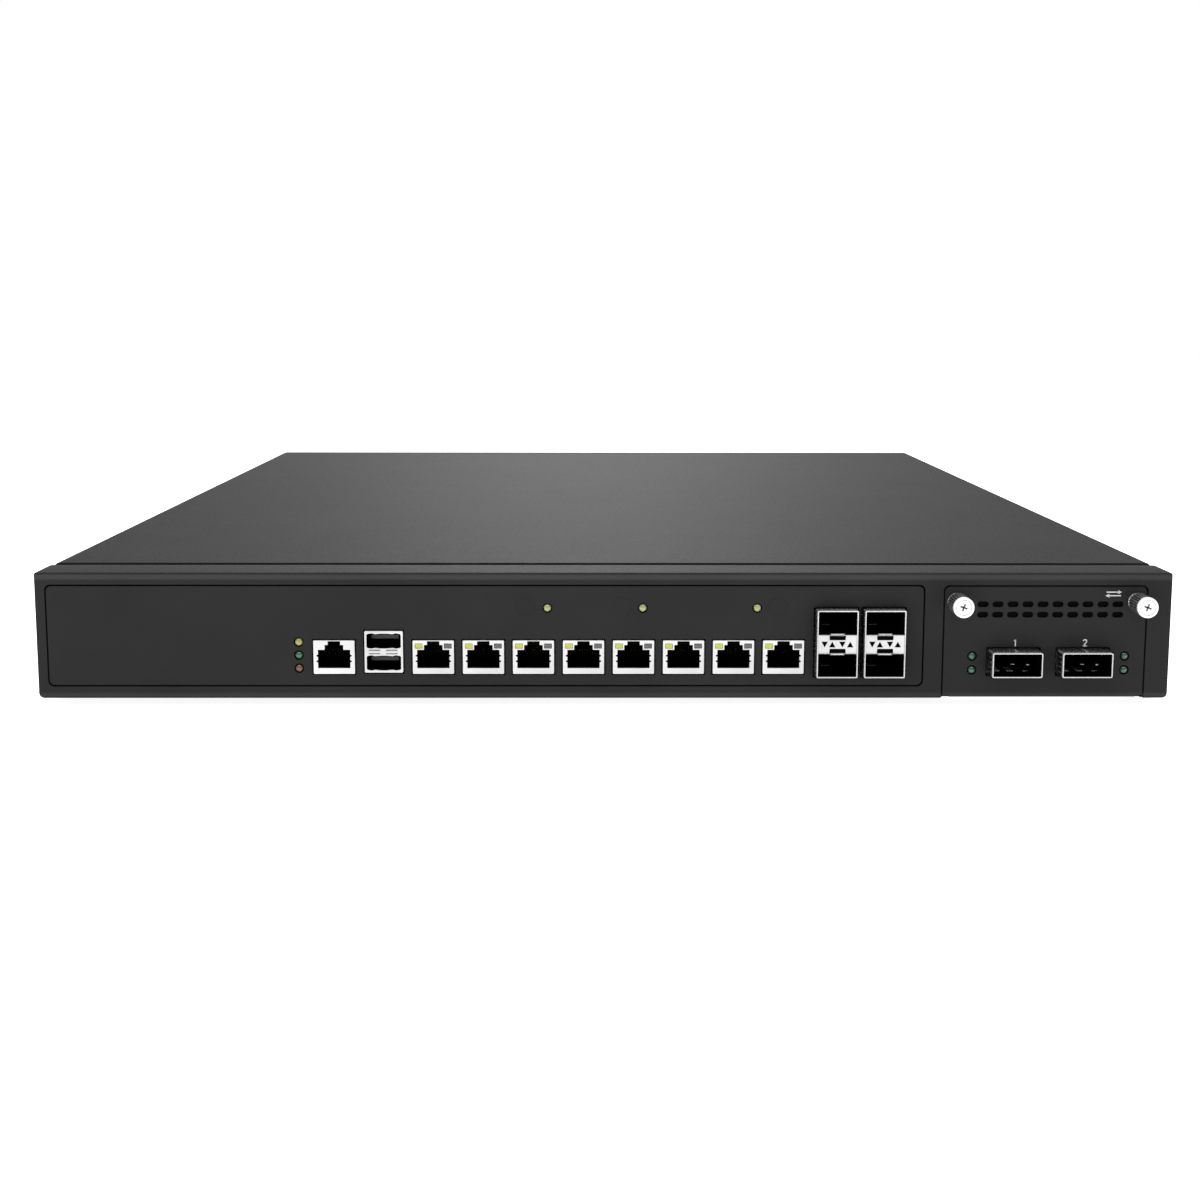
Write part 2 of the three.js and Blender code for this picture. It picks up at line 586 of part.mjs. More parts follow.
function psuCase() {
  const wall = 1;
  const rear = [PSU.y[1] - wall - 1, PSU.y[1] + 1];
  const inside = block(grown(PSU.x, -wall), grown(PSU.y, -wall), grown(PSU.z, -wall));
  const holes = [
    fanGuardHole(PSU_FAN_X, rear),
    block(around(INLET.x, INLET.recessW + 3), rear, around(INLET.z, INLET.recessH + 3)),
    block(around(ROCKER.x, ROCKER.w + 2.6), rear, around(INLET.z, ROCKER.h + 2.6)),
  ];
  for (let i = 0; i < 8; i += 1) {
    const x = around(PSU.x[0] + 48 + 5 * i, 2.6);
    holes.push(block(x, [PSU.y[0] - 1, PSU.y[0] + wall + 1], [10, 36]));
  }
  return cut(block(PSU.x, PSU.y, PSU.z), inside, ...holes);
}

// The inlet's housing and the rocker's frame are one moulding.
function acInlet() {
  const deck = [inletDeck, inletDeck + 1.6];
  const x = [INLET.x - INLET.w / 2, ROCKER.x + ROCKER.w / 2 + 3];
  const flange = plateY(rounded(x, around(INLET.z, INLET.h + 3), 2), deck);
  const recessX = around(INLET.x, INLET.recessW);
  const recessZ = around(INLET.z, INLET.recessH);
  const recess = polygon([
    [recessX[0], recessZ[0]], [recessX[1], recessZ[0]], [recessX[1], recessZ[1] - 4],
    [recessX[1] - 4, recessZ[1]], [recessX[0] + 4, recessZ[1]], [recessX[0], recessZ[1] - 4],
  ]);
  const floor = deck[1] - INLET.recessD;
  const cup = block(grown(recessX, 1.2), [floor - 2, deck[0] + 0.5], grown(recessZ, 1.2));
  const aroundRocker = (wider, y) => {
    return block(around(ROCKER.x, ROCKER.w + wider), y, around(INLET.z, ROCKER.h + wider));
  };
  const well = aroundRocker(2, [deck[0] - 9, deck[1]]);
  const rim = aroundRocker(3, [deck[0], deck[1] + 0.8]);
  const wellHole = aroundRocker(2 * GAP, [deck[0] - 8, deck[1] + 2]);
  const pins = [[0, 3.5], [-7, -1.5], [7, -1.5]].map(([dx, dz]) => {
    return block(around(INLET.x + dx, 2), [floor - 1, floor + 11], around(INLET.z + dz, 4));
  });
  const housing = cut(join(flange, cup, well, rim), plateY(recess, [floor, deck[1] + 1]), wellHole);
  return join(housing, ...pins);
}

// A rocker resting on one side, tipped by half its swing about its pivot.
function rocker() {
  const back = -4.5;
  const profile = polygon([
    [back, -3], [0, -ROCKER_REACH], [ROCKER.crown, -ROCKER_REACH], [ROCKER.crown - 0.5, 0],
    [ROCKER.crown, ROCKER_REACH], [0, ROCKER_REACH], [back, 3],
  ]);
  const wedge = plateX(profile, around(0, ROCKER.w));
  return wedge.rotate(-ROCKER.swing / 2, 0, 0);
}

node("psu_case", psuCase(), zincSteel);
node("psu_fan_frame", squareFanFrame(), blackPlastic, psuFanPlace);
node("psu_fan_rotor", fanRotor(), blackPlastic, psuFanPlace);
node("ac_inlet", acInlet(), blackPlastic);
node("power_switch", rocker(), blackPlastic, [ROCKER.x, BODY_D, INLET.z]);

// ------------------------------------------------------------------ module bay

const bayX = [MODULE_X[0] + 0.2, MODULE_X[1] - 0.2];

// A floor with two side walls, and a pair of ledges on each wall that guide the module's board.
function moduleBay() {
  const floorZ = [BEZEL_WALL + 0.6, BEZEL_WALL + 0.6 + SHEET];
  const parts = [block(bayX, BAY_Y, floorZ)];
  for (const side of [[bayX[0], bayX[0] + SHEET], [bayX[1] - SHEET, bayX[1]]]) {
    parts.push(block(side, BAY_Y, [floorZ[0], 26]));
  }
  const under = [floorZ[1] - 0.5, MODULE_BOARD_TOP - BOARD_T - GAP];
  const over = [MODULE_BOARD_TOP + GAP, MODULE_BOARD_TOP + 2.3];
  for (const ledge of [[bayX[0] + 0.5, bayX[0] + 4.5], [bayX[1] - 4.5, bayX[1] - 0.5]]) {
    parts.push(block(ledge, [BEZEL_D, BAY_Y[1]], under));
    parts.push(block(ledge, [BEZEL_D, BAY_Y[1]], over));
  }
  return join(...parts);
}

const SOCKET_X = [146, 196];
const CARD_EDGE_Y = 226;

// The connector on the board's tongue that the module's card edge pushes into.
function baySocket() {
  const shell = block(SOCKET_X, [CARD_EDGE_Y - 8, 252], [BOARD_TOP + GAP, 17]);
  const cardZ = [MODULE_BOARD_TOP - BOARD_T, MODULE_BOARD_TOP];
  const slot = block(grown(SOCKET_X, -2), [CARD_EDGE_Y - 9, CARD_EDGE_Y + 2], grown(cardZ, 0.4));
  const skirt = block(SOCKET_X, [CARD_EDGE_Y - 8, TONGUE_Y[0] - GAP], [cardZ[0] - 1.8, 12]);
  return cut(join(shell, skirt), slot);
}

node("module_bay", moduleBay(), zincSteel);
node("bay_socket", baySocket(), blackPlastic);

// ------------------------------------------------------------------ slide-in module

const slideIn = new THREE.Group();
body.add(slideIn);
const plateX0X1 = grown(MODULE_X, -SEAM / 2);
const boardX = [MODULE_X[0] + 2.4, MODULE_X[1] - 2.4];
const FOLD_D = 10;

function ventHoles(y) {
  const pitch = (VENT.lastX - VENT.firstX) / (VENT.count - 1);
  const slots = [];
  for (const z of VENT.zs) {
    for (let i = 0; i < VENT.count; i += 1) {
      const x = around(VENT.firstX + i * pitch, VENT.w);
      slots.push(plateY(rounded(x, around(z, VENT.h), VENT.h / 2 - 0.01), y, 1));
    }
  }
  return slots;
}

function moduleFaceplate() {
  const y = [-1, FACE_T + 1];
  const plateZ0Z1 = [MODULE_Z[0], MODULE_Z[1] - SEAM / 2];
  const plate = plateY(rectangle(plateX0X1, plateZ0Z1, moduleTop), [0, FACE_T]);
  const foldY = [FACE_T / 2, FACE_T + FOLD_D];
  const fold = block(grown(plateX0X1, -2.7), foldY, [MODULE_Z[0], MODULE_Z[0] + SHEET]);
  const postZ = [MODULE_Z[0] + SHEET / 2, MODULE_BOARD_TOP - BOARD_T - GAP];
  const postXs = [SCREW_X.left + 3, (MODULE_X[0] + MODULE_X[1]) / 2, SCREW_X.right - 3];
  const posts = postXs.map((x) => barZ(x, foldY[1] - 3.5, 2, postZ, 8));
  const holes = [...ventHoles(y)];
  for (const x of Object.values(SCREW_X)) holes.push(barY(x, SCREW_Z, 2.9 + GAP, y, ROUND));
  for (const x of QSFP.xs) {
    const size = CAGE_CLEARANCE - GAP;
    holes.push(rectangularHole(x, QSFP.w + 2 * size, QSFP.z - size, QSFP.h + 2 * size, y));
  }
  for (const x of Object.values(MODULE_LED.xs)) {
    for (const z of MODULE_LED.zs) holes.push(barY(x, z, LED_HOLE_R, y, SMALL_ROUND));
  }
  return cut(join(plate, fold, ...posts), ...holes);
}

function moduleBoard() {
  const z = [MODULE_BOARD_TOP - BOARD_T, MODULE_BOARD_TOP];
  const neck = grown(SOCKET_X, -2.4);
  const plan = polygon([
    [boardX[0], 7], [boardX[1], 7], [boardX[1], 216], [neck[1], 216],
    [neck[1], CARD_EDGE_Y], [neck[0], CARD_EDGE_Y], [neck[0], 216], [boardX[0], 216],
  ]);
  const on = (x, y, top) => block(x, y, [MODULE_BOARD_TOP - 0.5, top]);
  const parts = [
    plateZ(plan, z),
    on(around(172, 25), around(110, 25), 11.5), // controller under the heat sink
    on(around(155, 8), around(180, 8), 13),
    on(around(170, 8), around(180, 8), 13),
    on(around(190, 12), around(178, 12), 12),
  ];
  return join(...parts);
}

function screwFerrule() {
  return turned([
    [SHANK_R + GAP, -1.2], [3.5, -1.2], [3.5, -GAP], [2.9, -GAP],
    [2.9, FACE_T + GAP], [SHANK_R + GAP, FACE_T + GAP], [SHANK_R + GAP, -1.2],
  ]);
}

// The clip on the shank that stops the screw from leaving its ferrule.
const clipY = [LUG_Y[0] - 1.4, LUG_Y[0] - 0.6];

function retainingRing() {
  return turned([
    [SHANK_R + 0.2, clipY[0]], [2.6, clipY[0]], [2.6, clipY[1]],
    [SHANK_R + 0.2, clipY[1]], [SHANK_R + 0.2, clipY[0]],
  ]);
}

function thumbscrew() {
  const back = -1.2 - GAP;
  return turned([
    [0, -KNOB_OUT], [KNOB_R - 0.8, -KNOB_OUT], [KNOB_R, -KNOB_OUT + 0.8], [KNOB_R, back - 0.4],
    [KNOB_R - 0.4, back], [SHANK_R, back], [SHANK_R, LUG_Y[1] - 0.5],
    [SHANK_R - 0.5, LUG_Y[1]], [0, LUG_Y[1]],
  ]);
}

node("module_faceplate", moduleFaceplate(), powderCoat, [0, 0, 0], slideIn);
node("module_board", moduleBoard(), greenBoard, [0, 0, 0], slideIn);
const moduleCooler = finnedBlock(around(172, 50), around(110, 50), [11.8, 28], 3, 12, 1.2);
node("module_heatsink", moduleCooler, aluminium, [0, 0, 0], slideIn);
QSFP.xs.forEach((x, i) => node("qsfp_cage_" + (i + 1), singleCage(), tinned, [x, 0, QSFP.z], slideIn));
for (const [side, x] of Object.entries(MODULE_LED.xs)) {
  node("module_led_" + side, moduleLampPair(), lamp(0x3f7f58), [x, 0, 0], slideIn);
}
for (const [side, x] of Object.entries(SCREW_X)) {
  const place = [x, 0, SCREW_Z];
  node("screw_ferrule_" + side, screwFerrule(), nickel, place, slideIn);
  node("retaining_ring_" + side, retainingRing(), nickel, place, slideIn);
  node("thumbscrew_" + side, thumbscrew(), nickel, place, slideIn);
}

export default root;
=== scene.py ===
"""The looks of a network firewall appliance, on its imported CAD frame. Metres, +Z up, front towards -Y.

Every piece is drawn in the body's own millimetres: x from the middle, y behind the bezel's front face and
z above the sheet-metal underside. make() turns that into the row frame.
"""

import functools
import json
import math

import bmesh
import bpy
from mathutils import Matrix, Vector

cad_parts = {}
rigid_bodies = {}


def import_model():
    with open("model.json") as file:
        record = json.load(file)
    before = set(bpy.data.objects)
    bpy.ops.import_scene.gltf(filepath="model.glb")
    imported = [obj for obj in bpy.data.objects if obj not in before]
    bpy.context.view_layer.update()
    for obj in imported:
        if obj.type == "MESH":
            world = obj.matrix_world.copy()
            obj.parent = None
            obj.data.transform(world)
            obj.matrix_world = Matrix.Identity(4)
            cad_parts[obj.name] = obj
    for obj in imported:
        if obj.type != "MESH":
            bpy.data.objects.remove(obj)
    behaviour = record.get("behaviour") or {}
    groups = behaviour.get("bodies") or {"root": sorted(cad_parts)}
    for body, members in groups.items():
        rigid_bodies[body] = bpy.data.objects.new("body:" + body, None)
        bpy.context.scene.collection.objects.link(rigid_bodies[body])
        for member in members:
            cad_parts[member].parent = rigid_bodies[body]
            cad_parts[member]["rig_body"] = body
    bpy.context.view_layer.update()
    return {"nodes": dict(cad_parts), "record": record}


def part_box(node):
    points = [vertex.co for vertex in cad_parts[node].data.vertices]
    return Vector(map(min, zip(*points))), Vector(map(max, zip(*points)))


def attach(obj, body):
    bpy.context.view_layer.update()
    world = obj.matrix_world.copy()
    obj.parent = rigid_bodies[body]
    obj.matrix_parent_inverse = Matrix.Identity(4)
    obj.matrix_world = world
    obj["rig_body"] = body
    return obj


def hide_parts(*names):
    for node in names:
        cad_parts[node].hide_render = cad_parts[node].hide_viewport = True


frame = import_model()

MM = 0.001
TO_ROW = Matrix.Translation((0, *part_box("front_bezel")[0].yz)) @ Matrix.Scale(MM, 4)
TO_BODY = TO_ROW.inverted()
BODY_OF = {n: b for b, nodes in frame["record"]["behaviour"]["bodies"].items() for n in nodes}
SMOOTH_ANGLE = math.radians(50)


def cad(node):
    """A CAD node's x, y and z ranges, in the body's millimetres."""
    low, high = (TO_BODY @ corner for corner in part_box(node))
    return [(low[i], high[i]) for i in range(3)]


def middle(span):
    return (span[0] + span[1]) / 2


def about(centre, width):
    return (centre - width / 2, centre + width / 2)


def grown(span, by):
    return (span[0] - by, span[1] + by)


# ---------------------------------------------------------------- outlines, as lists of points


def arc(cx, cy, radius, start, end, steps):
    """Points on an arc, with its angles in degrees."""
    turns = [math.radians(start + (end - start) * i / steps) for i in range(steps + 1)]
    return [(cx + radius * math.cos(t), cy + radius * math.sin(t)) for t in turns]


def rect(u, v, radius=0.0, steps=5, corners="all"):
    """A rectangle with its corners rounded: all of them, the top two or the bottom two."""
    low = radius if corners in ("all", "bottom") else 0
    high = radius if corners in ("all", "top") else 0
    points = []
    for cu, cv, r, start in (
        (u[0] + low, v[0] + low, low, 180),
        (u[1] - low, v[0] + low, low, 270),
        (u[1] - high, v[1] - high, high, 0),
        (u[0] + high, v[1] - high, high, 90),
    ):
        points += arc(cu, cv, r, start, start + 90, steps) if r else [(cu, cv)]
    return points


def circle(cx, cy, radius, sides=24):
    return arc(cx, cy, radius, 0, 360, sides)[:-1]


def slot(cx, cy, width, height, steps=6):
    """A slot with round ends, along its longer side."""
    return rect(about(cx, width), about(cy, height), min(width, height) / 2 - 1e-3, steps)


def mirrored(points):
    """An outline drawn on the right half, upwards, completed with its mirror image."""
    return points + [(-u, v) for u, v in reversed(points) if abs(u) > 1e-6]


# ---------------------------------------------------------------- solids

AXES = {
    "z": Matrix.Identity(4),
    "y": Matrix(((1, 0, 0, 0), (0, 0, -1, 0), (0, 1, 0, 0), (0, 0, 0, 1))),
    "x": Matrix(((0, 0, 1, 0), (1, 0, 0, 0), (0, 1, 0, 0), (0, 0, 0, 1))),
}


def added(name, data):
    """A new object in the scene."""
    obj = bpy.data.objects.new(name, data)
    bpy.context.scene.collection.objects.link(obj)
    return obj


def mesh_of(obj):
    graph = bpy.context.evaluated_depsgraph_get()
    return bpy.data.meshes.new_from_object(obj.evaluated_get(graph), depsgraph=graph)


def mesh_from(bm, name="part"):
    """A mesh with a bmesh's faces. Frees the bmesh."""
    mesh = bpy.data.meshes.new(name)
    bm.to_mesh(mesh)
    bm.free()
    return mesh


def curve_mesh(outlines, closed, **settings):
    """The mesh of a curve that runs through lists of 3D points."""
    curve = bpy.data.curves.new("outline", "CURVE")
    for key, value in settings.items():
        setattr(curve, key, value)
    for points in outlines:
        spline = curve.splines.new("POLY")
        spline.points.add(len(points) - 1)
        for point, place in zip(spline.points, points):
            point.co = (*place, 1)
        spline.use_cyclic_u = closed
    obj = added("outline", curve)
    mesh = mesh_of(obj)
    bpy.data.objects.remove(obj)
    bpy.data.curves.remove(curve)
    return mesh


class Shape:
    """Solids collected into one mesh, in millimetres."""

    def __init__(self):
        self.bm = bmesh.new()

    def take(self, mesh, matrix=Matrix()):
        """Adds a mesh and frees it."""
        mesh.transform(matrix)
        self.bm.from_mesh(mesh)
        bpy.data.meshes.remove(mesh)
        return self

    def add(self, other, matrix=Matrix()):
        mesh = bpy.data.meshes.new("part")
        other.bm.to_mesh(mesh)
        return self.take(mesh, matrix)

    def box(self, x, y, z, bevel=0.0, matrix=Matrix()):
        verts = bmesh.ops.create_cube(self.bm, size=1.0)["verts"]
        size = Matrix.Diagonal((x[1] - x[0], y[1] - y[0], z[1] - z[0], 1))
        place = Matrix.Translation((middle(x), middle(y), middle(z)))
        bmesh.ops.transform(self.bm, matrix=matrix @ place @ size, verts=verts)
        if bevel:
            edges = list({e for v in verts for e in v.link_edges})
            bmesh.ops.bevel(self.bm, geom=edges, offset=bevel, segments=2, profile=0.5, affect="EDGES")
        return self

    def plate(self, outlines, span, axis="y", bevel=0.0, matrix=Matrix()):
        """The first outline with the others as holes, solid between two positions on an axis.

        Outlines are drawn in X and Z for axis y, in X and Y for axis z, and in Y and Z for axis x."""
        half = (span[1] - span[0]) / 2
        mesh = curve_mesh(
            [[(u, v, 0) for u, v in points] for points in outlines], True, dimensions="2D", fill_mode="BOTH",
            extrude=half - bevel, bevel_depth=bevel, bevel_resolution=1, offset=-bevel,
        )
        flat = bmesh.new()
        flat.from_mesh(mesh)
        bmesh.ops.remove_doubles(flat, verts=flat.verts, dist=1e-4)
        bpy.data.meshes.remove(mesh)
        mesh = mesh_from(flat)
        shift = Matrix.Translation(AXES[axis] @ Vector((0, 0, 1)) * middle(span) * (-1 if axis == "y" else 1))
        return self.take(mesh, matrix @ shift @ AXES[axis])

    def turned(self, profile, centre=(0, 0, 0), axis="y", sides=32, ripple=None):
        """A body of revolution from (radius, height) points. ripple(i) scales the radius round the turn."""
        rings = []
        made = bmesh.new()
        for radius, height in profile:
            if radius < 1e-6:
                rings.append([made.verts.new((0, 0, height))])
                continue
            ring = []
            for i in range(sides):
                turn = math.tau * i / sides
                r = radius * (ripple(i) if ripple else 1)
                ring.append(made.verts.new((r * math.cos(turn), r * math.sin(turn), height)))
            rings.append(ring)
        for a, b in zip(rings, rings[1:]):
            for i in range(sides):
                j = (i + 1) % sides
                corners = [a[i % len(a)], a[j % len(a)], b[j % len(b)], b[i % len(b)]]
                unique = list(dict.fromkeys(corners))
                if len(unique) > 2:
                    made.faces.new(unique)
        quarter = math.pi / 2
        along = {"z": Matrix(), "y": Matrix.Rotation(quarter, 4, "X"), "x": Matrix.Rotation(quarter, 4, "Y")}
        # Rotating z onto y turns heights round, so the profile's heights are y positions once mirrored.
        flip = Matrix.Diagonal((1, 1, -1, 1)) if axis == "y" else Matrix()
        return self.take(mesh_from(made), Matrix.Translation(centre) @ along[axis] @ flip)

    def rod(self, radius, span, centre=(0, 0, 0), axis="y", sides=32):
        """A plain cylinder between two positions on an axis."""
        low, high = span
        return self.turned([(0, low), (radius, low), (radius, high), (0, high)], centre, axis, sides)

    def tube(self, points, radius, sides=8):
        """A round wire or lead along points."""
        bends = max(0, sides // 2 - 2)
        return self.take(curve_mesh(
            [points], False, dimensions="3D", bevel_depth=radius, bevel_resolution=bends, use_fill_caps=True,
        ))

    def boolean(self, other, operation="DIFFERENCE"):
        """Cuts, joins or intersects with another shape."""
        objects = []
        for shape in (self, other):
            mesh = bpy.data.meshes.new("operand")
            bmesh.ops.recalc_face_normals(shape.bm, faces=shape.bm.faces)
            shape.bm.to_mesh(mesh)
            objects.append(added("operand", mesh))
        change = objects[0].modifiers.new("change", "BOOLEAN")
        change.operation = operation
        change.solver = "EXACT"
        change.object = objects[1]
        mesh = mesh_of(objects[0])
        for obj in objects:
            old = obj.data
            bpy.data.objects.remove(obj)
            bpy.data.meshes.remove(old)
        self.bm.clear()
        return self.take(mesh)


def make(name, shape, material, body=None, replaces=(), bevel=0.0):
    """Turns a shape into a piece: in the row frame, smooth by angle, riding on its body."""
    mesh = bpy.data.meshes.new(name)
    bmesh.ops.recalc_face_normals(shape.bm, faces=shape.bm.faces)
    shape.bm.to_mesh(mesh)
    mesh.transform(TO_ROW)
    draft = added(name, mesh)
    if bevel:
        edges = draft.modifiers.new("edges", "BEVEL")
        edges.width = bevel * MM
        edges.segments = 2
        edges.limit_method = "ANGLE"
        edges.angle_limit = math.radians(35)
        edges.harden_normals = False
    mesh.shade_smooth()
    mesh.set_sharp_from_angle(angle=SMOOTH_ANGLE)
    weighted = draft.modifiers.new("normals", "WEIGHTED_NORMAL")
    weighted.keep_sharp = True
    final = mesh_of(draft)
    final.name = name
    draft.modifiers.clear()
    draft.data = final
    bpy.data.meshes.remove(mesh)
    final.materials.clear()
    final.materials.append(material)
    return settle(draft, body, replaces)


def settle(obj, body, replaces):
    nodes = [replaces] if isinstance(replaces, str) else list(replaces)
    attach(obj, body or (BODY_OF[nodes[0]] if nodes else "chassis"))
    if nodes:
        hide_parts(*nodes)
    return obj


def again(obj, name, shift, replaces=(), body=None):
    """Another copy of a piece, moved by millimetres, on the same body or on another."""
    copy = added(name, obj.data)
    copy.location = Vector(shift) * MM
    return settle(copy, body or obj["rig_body"], replaces)


def twins(pieces, first, second):
    """Copies a node's pieces to its twin's place. The piece listed first stands for the node."""
    shift = [middle(b) - middle(a) for a, b in zip(cad(first), cad(second))]
    for i, (key, piece) in enumerate(pieces.items()):
        again(piece, f"{second}_{key}", shift, () if i else second)


# ---------------------------------------------------------------- materials


def nodes_of(name, slot_name):
    material = bpy.data.materials.new(name)
    material.use_nodes = True
    material["slot"] = slot_name
    tree = material.node_tree
    return material, tree, tree.nodes["Principled BSDF"]


def set_inputs(node, inputs):
    """Links each named input to an output, or sets its value."""
    for key, value in inputs.items():
        if isinstance(value, bpy.types.NodeSocket):
            node.id_data.links.new(value, node.inputs[key])
        else:
            node.inputs[key].default_value = value


def add_node(tree, kind, inputs, output=0, **settings):
    """A shader node with its settings and inputs made. Gives one of its outputs."""
    node = tree.nodes.new("ShaderNode" + kind)
    for key, value in settings.items():
        setattr(node, key, value)
    set_inputs(node, inputs)
    return node.outputs[output]


def calculate(tree, operation, a, b=0.0):
    return add_node(tree, "Math", {0: a, 1: b}, operation=operation)


def place_node(tree, scale=(1, 1, 1)):
    """Row-frame coordinates in metres, stretched by scale."""
    return add_node(tree, "Mapping", {"Vector": add_node(tree, "TexCoord", {}, "Object"), "Scale": scale})


def noise(tree, vector, scale, detail=3.0):
    inputs = {"Vector": vector, "Scale": scale, "Detail": detail, "Roughness": 0.55}
    return add_node(tree, "TexNoise", inputs, "Fac")


def ramp(tree, factor, low, high, start=0.3, end=0.7):
    colour = add_node(tree, "ValToRGB", {"Fac": factor}, "Color")
    for stop, place, tint in zip(colour.node.color_ramp.elements, (start, end), (low, high)):
        stop.position = place
        stop.color = (*tint, 1)
    return colour


def spread(tree, factor, low, high, start=0.3, end=0.7, curve="LINEAR"):
    """The factor's range from start to end, made a range from low to high."""
    inputs = {"Value": factor, "From Min": start, "From Max": end, "To Min": low, "To Max": high}
    return add_node(tree, "MapRange", inputs, "Result", interpolation_type=curve)


def bump(tree, height, strength, distance):
    return add_node(tree, "Bump", {"Strength": strength, "Distance": distance, "Height": height}, "Normal")


def surface(
    name, slot_name, colour, roughness, metallic=0.0, shift=0.12, grain=900.0, relief=0.00002,
    stretch=(1, 1, 1), specular=0.5,
):
    """A finish with fine grain in relief, and colour and gloss that drift a little from place to place."""
    material, tree, bsdf = nodes_of(name, slot_name)
    vector = place_node(tree, stretch)
    fine = noise(tree, vector, grain)
    low = [c * (1 - shift) for c in colour]
    high = [min(1, c * (1 + shift)) for c in colour]
    set_inputs(bsdf, {
        "Base Color": ramp(tree, noise(tree, vector, 25, 2.0), low, high),
        "Roughness": spread(tree, fine, roughness - 0.06, roughness + 0.06),
        "Metallic": metallic,
        "Specular IOR Level": specular,
        "Normal": bump(tree, fine, 0.35, relief),
    })
    return material


def powder_coat(name):
    colour = (0.0241, 0.0241, 0.0244)
    return surface(name, "powder_coat", colour, 0.5, shift=0.06, grain=1400, relief=0.00003, specular=0.012)


def powder_with_painted_edge_light(name):
    """Powder coat with painted highlight bands along the bezel's front edges, each with a painted dark band
    beside it: a dark line under the top edge and painted shade on the bottom lip.
    """
    material = powder_coat(name)
    tree = material.node_tree
    bsdf = tree.nodes["Principled BSDF"]
    low, high = ((TO_ROW @ Vector((0, 0, z))).z for z in bezel_z)
    height = spread(tree, add_node(tree, "SeparateXYZ", {0: place_node(tree)}, "Z"), 0, 1, low, high)
    bands = add_node(tree, "ValToRGB", {"Fac": height}, "Color")
    tall = bezel_z[1] - bezel_z[0]
    # Gains by height: painted shade on the lowest half millimetre, painted highlight from 0.9 to 1.7 mm,
    # painted highlight from 2.1 to 0.9 mm below the top, and a painted dark line just under the top edge.
    gains = [(0, 0.7), (0.5, 0.75), (0.9, 1.55), (1.7, 1.5), (2.6, 1), (tall - 3.1, 1), (tall - 2.1, 1.8)]
    gains += [(tall - 0.9, 1.85), (tall - 0.45, 0.95), (tall - 0.06, 0.95), (tall - 0.02, 1)]
    stops = bands.node.color_ramp.elements
    for i, (place, gain) in enumerate(gains):
        if i == 0:
            stop = stops[0]
        elif i == len(gains) - 1:
            stop = stops[len(stops) - 1]
        else:
            stop = stops.new(place / tall)
        stop.position = place / tall
        stop.color = (gain / 2, gain / 2, gain / 2, 1)
    double = add_node(tree, "VectorMath", {0: bands, "Scale": 2}, operation="SCALE")
    plain = bsdf.inputs["Base Color"].links[0].from_socket
    product = add_node(tree, "VectorMath", {0: plain, 1: double}, operation="MULTIPLY")
    set_inputs(bsdf, {"Base Color": product})
    return material


def woven(name, slot_name, colour, roughness):
    """A braided sleeve: two crossing sets of diagonal threads."""
    material, tree, bsdf = nodes_of(name, slot_name)
    waves = {"Vector": place_node(tree), "Scale": 420, "Distortion": 0.6}
    across, along = (add_node(tree, "TexWave", waves, "Fac", bands_direction=way) for way in ("X", "Y"))
    threads = calculate(tree, "MULTIPLY", across, along)
    set_inputs(bsdf, {
        "Base Color": ramp(tree, threads, [c * 0.5 for c in colour], colour, 0.1, 0.6),
        "Roughness": roughness,
        "Normal": bump(tree, threads, 0.6, 0.0002),
    })
    return material


def solder_mask(name, slot_name, colour):
    """Green lacquer over copper tracks, which stand out a little and show paler."""
    material, tree, bsdf = nodes_of(name, slot_name)
    vector = place_node(tree)
    bricks = {"Vector": vector, "Scale": 90, "Mortar Size": 0.022, "Mortar Smooth": 0.3}
    tracks = add_node(tree, "TexBrick", bricks, "Fac", offset=0.37, squash=1.6, squash_frequency=3)
    areas = spread(tree, noise(tree, vector, 38, detail=1.0), 0.1, 1.0)
    mask = calculate(tree, "MULTIPLY", tracks, areas)
    pale = [min(1, c * 2.1 + 0.01) for c in colour]
    set_inputs(bsdf, {
        "Base Color": ramp(tree, mask, colour, pale, 0.15, 0.8),
        "Roughness": spread(tree, noise(tree, vector, 300), 0.3, 0.42),
        "Coat Weight": 0.3,
        "Normal": bump(tree, mask, 0.5, 0.00004),
    })
    return material


def lamp_glass(name, slot_name, colour, glow=0.0):
    """A diffused lamp body: tinted, glossy, clouded inside and, with a glow, a little lit."""
    material, tree, bsdf = nodes_of(name, slot_name)
    cloud = noise(tree, place_node(tree), 700, detail=2.0)
    tint = ramp(tree, cloud, [c * 0.75 for c in colour], colour)
    set_inputs(bsdf, {
        "Base Color": tint,
        "Roughness": spread(tree, cloud, 0.12, 0.2),
        "Coat Weight": 0.6,
        "Coat Roughness": 0.05,
    })
    if glow:
        set_inputs(bsdf, {"Emission Color": tint, "Emission Strength": glow})
    return material


bezel_x, bezel_y, bezel_z = cad("front_bezel")

POWDER = powder_coat("powder_coat")
POWDER_PAINTED_EDGE_LIGHT = powder_with_painted_edge_light("powder_coat_painted_edge_light")
INK = surface("printed_ink", "powder_coat", (0.62, 0.62, 0.62), 0.5, shift=0.03)
ZINC = surface(
    "zinc_plate", "zinc_steel", (0.37, 0.375, 0.38), 0.38, 0.9,
    stretch=(1, 0.08, 1), grain=700, relief=0.00001,
)
TIN = surface(
    "tinned_shell", "tinned_steel", (0.58, 0.58, 0.58), 0.36, 0.65, shift=0.16, grain=1200, relief=0.000008,
)
SPRING = surface(
    "spring_steel", "tinned_steel", (0.32, 0.32, 0.32), 0.3, 1.0, shift=0.15, grain=900, relief=0.00001,
)
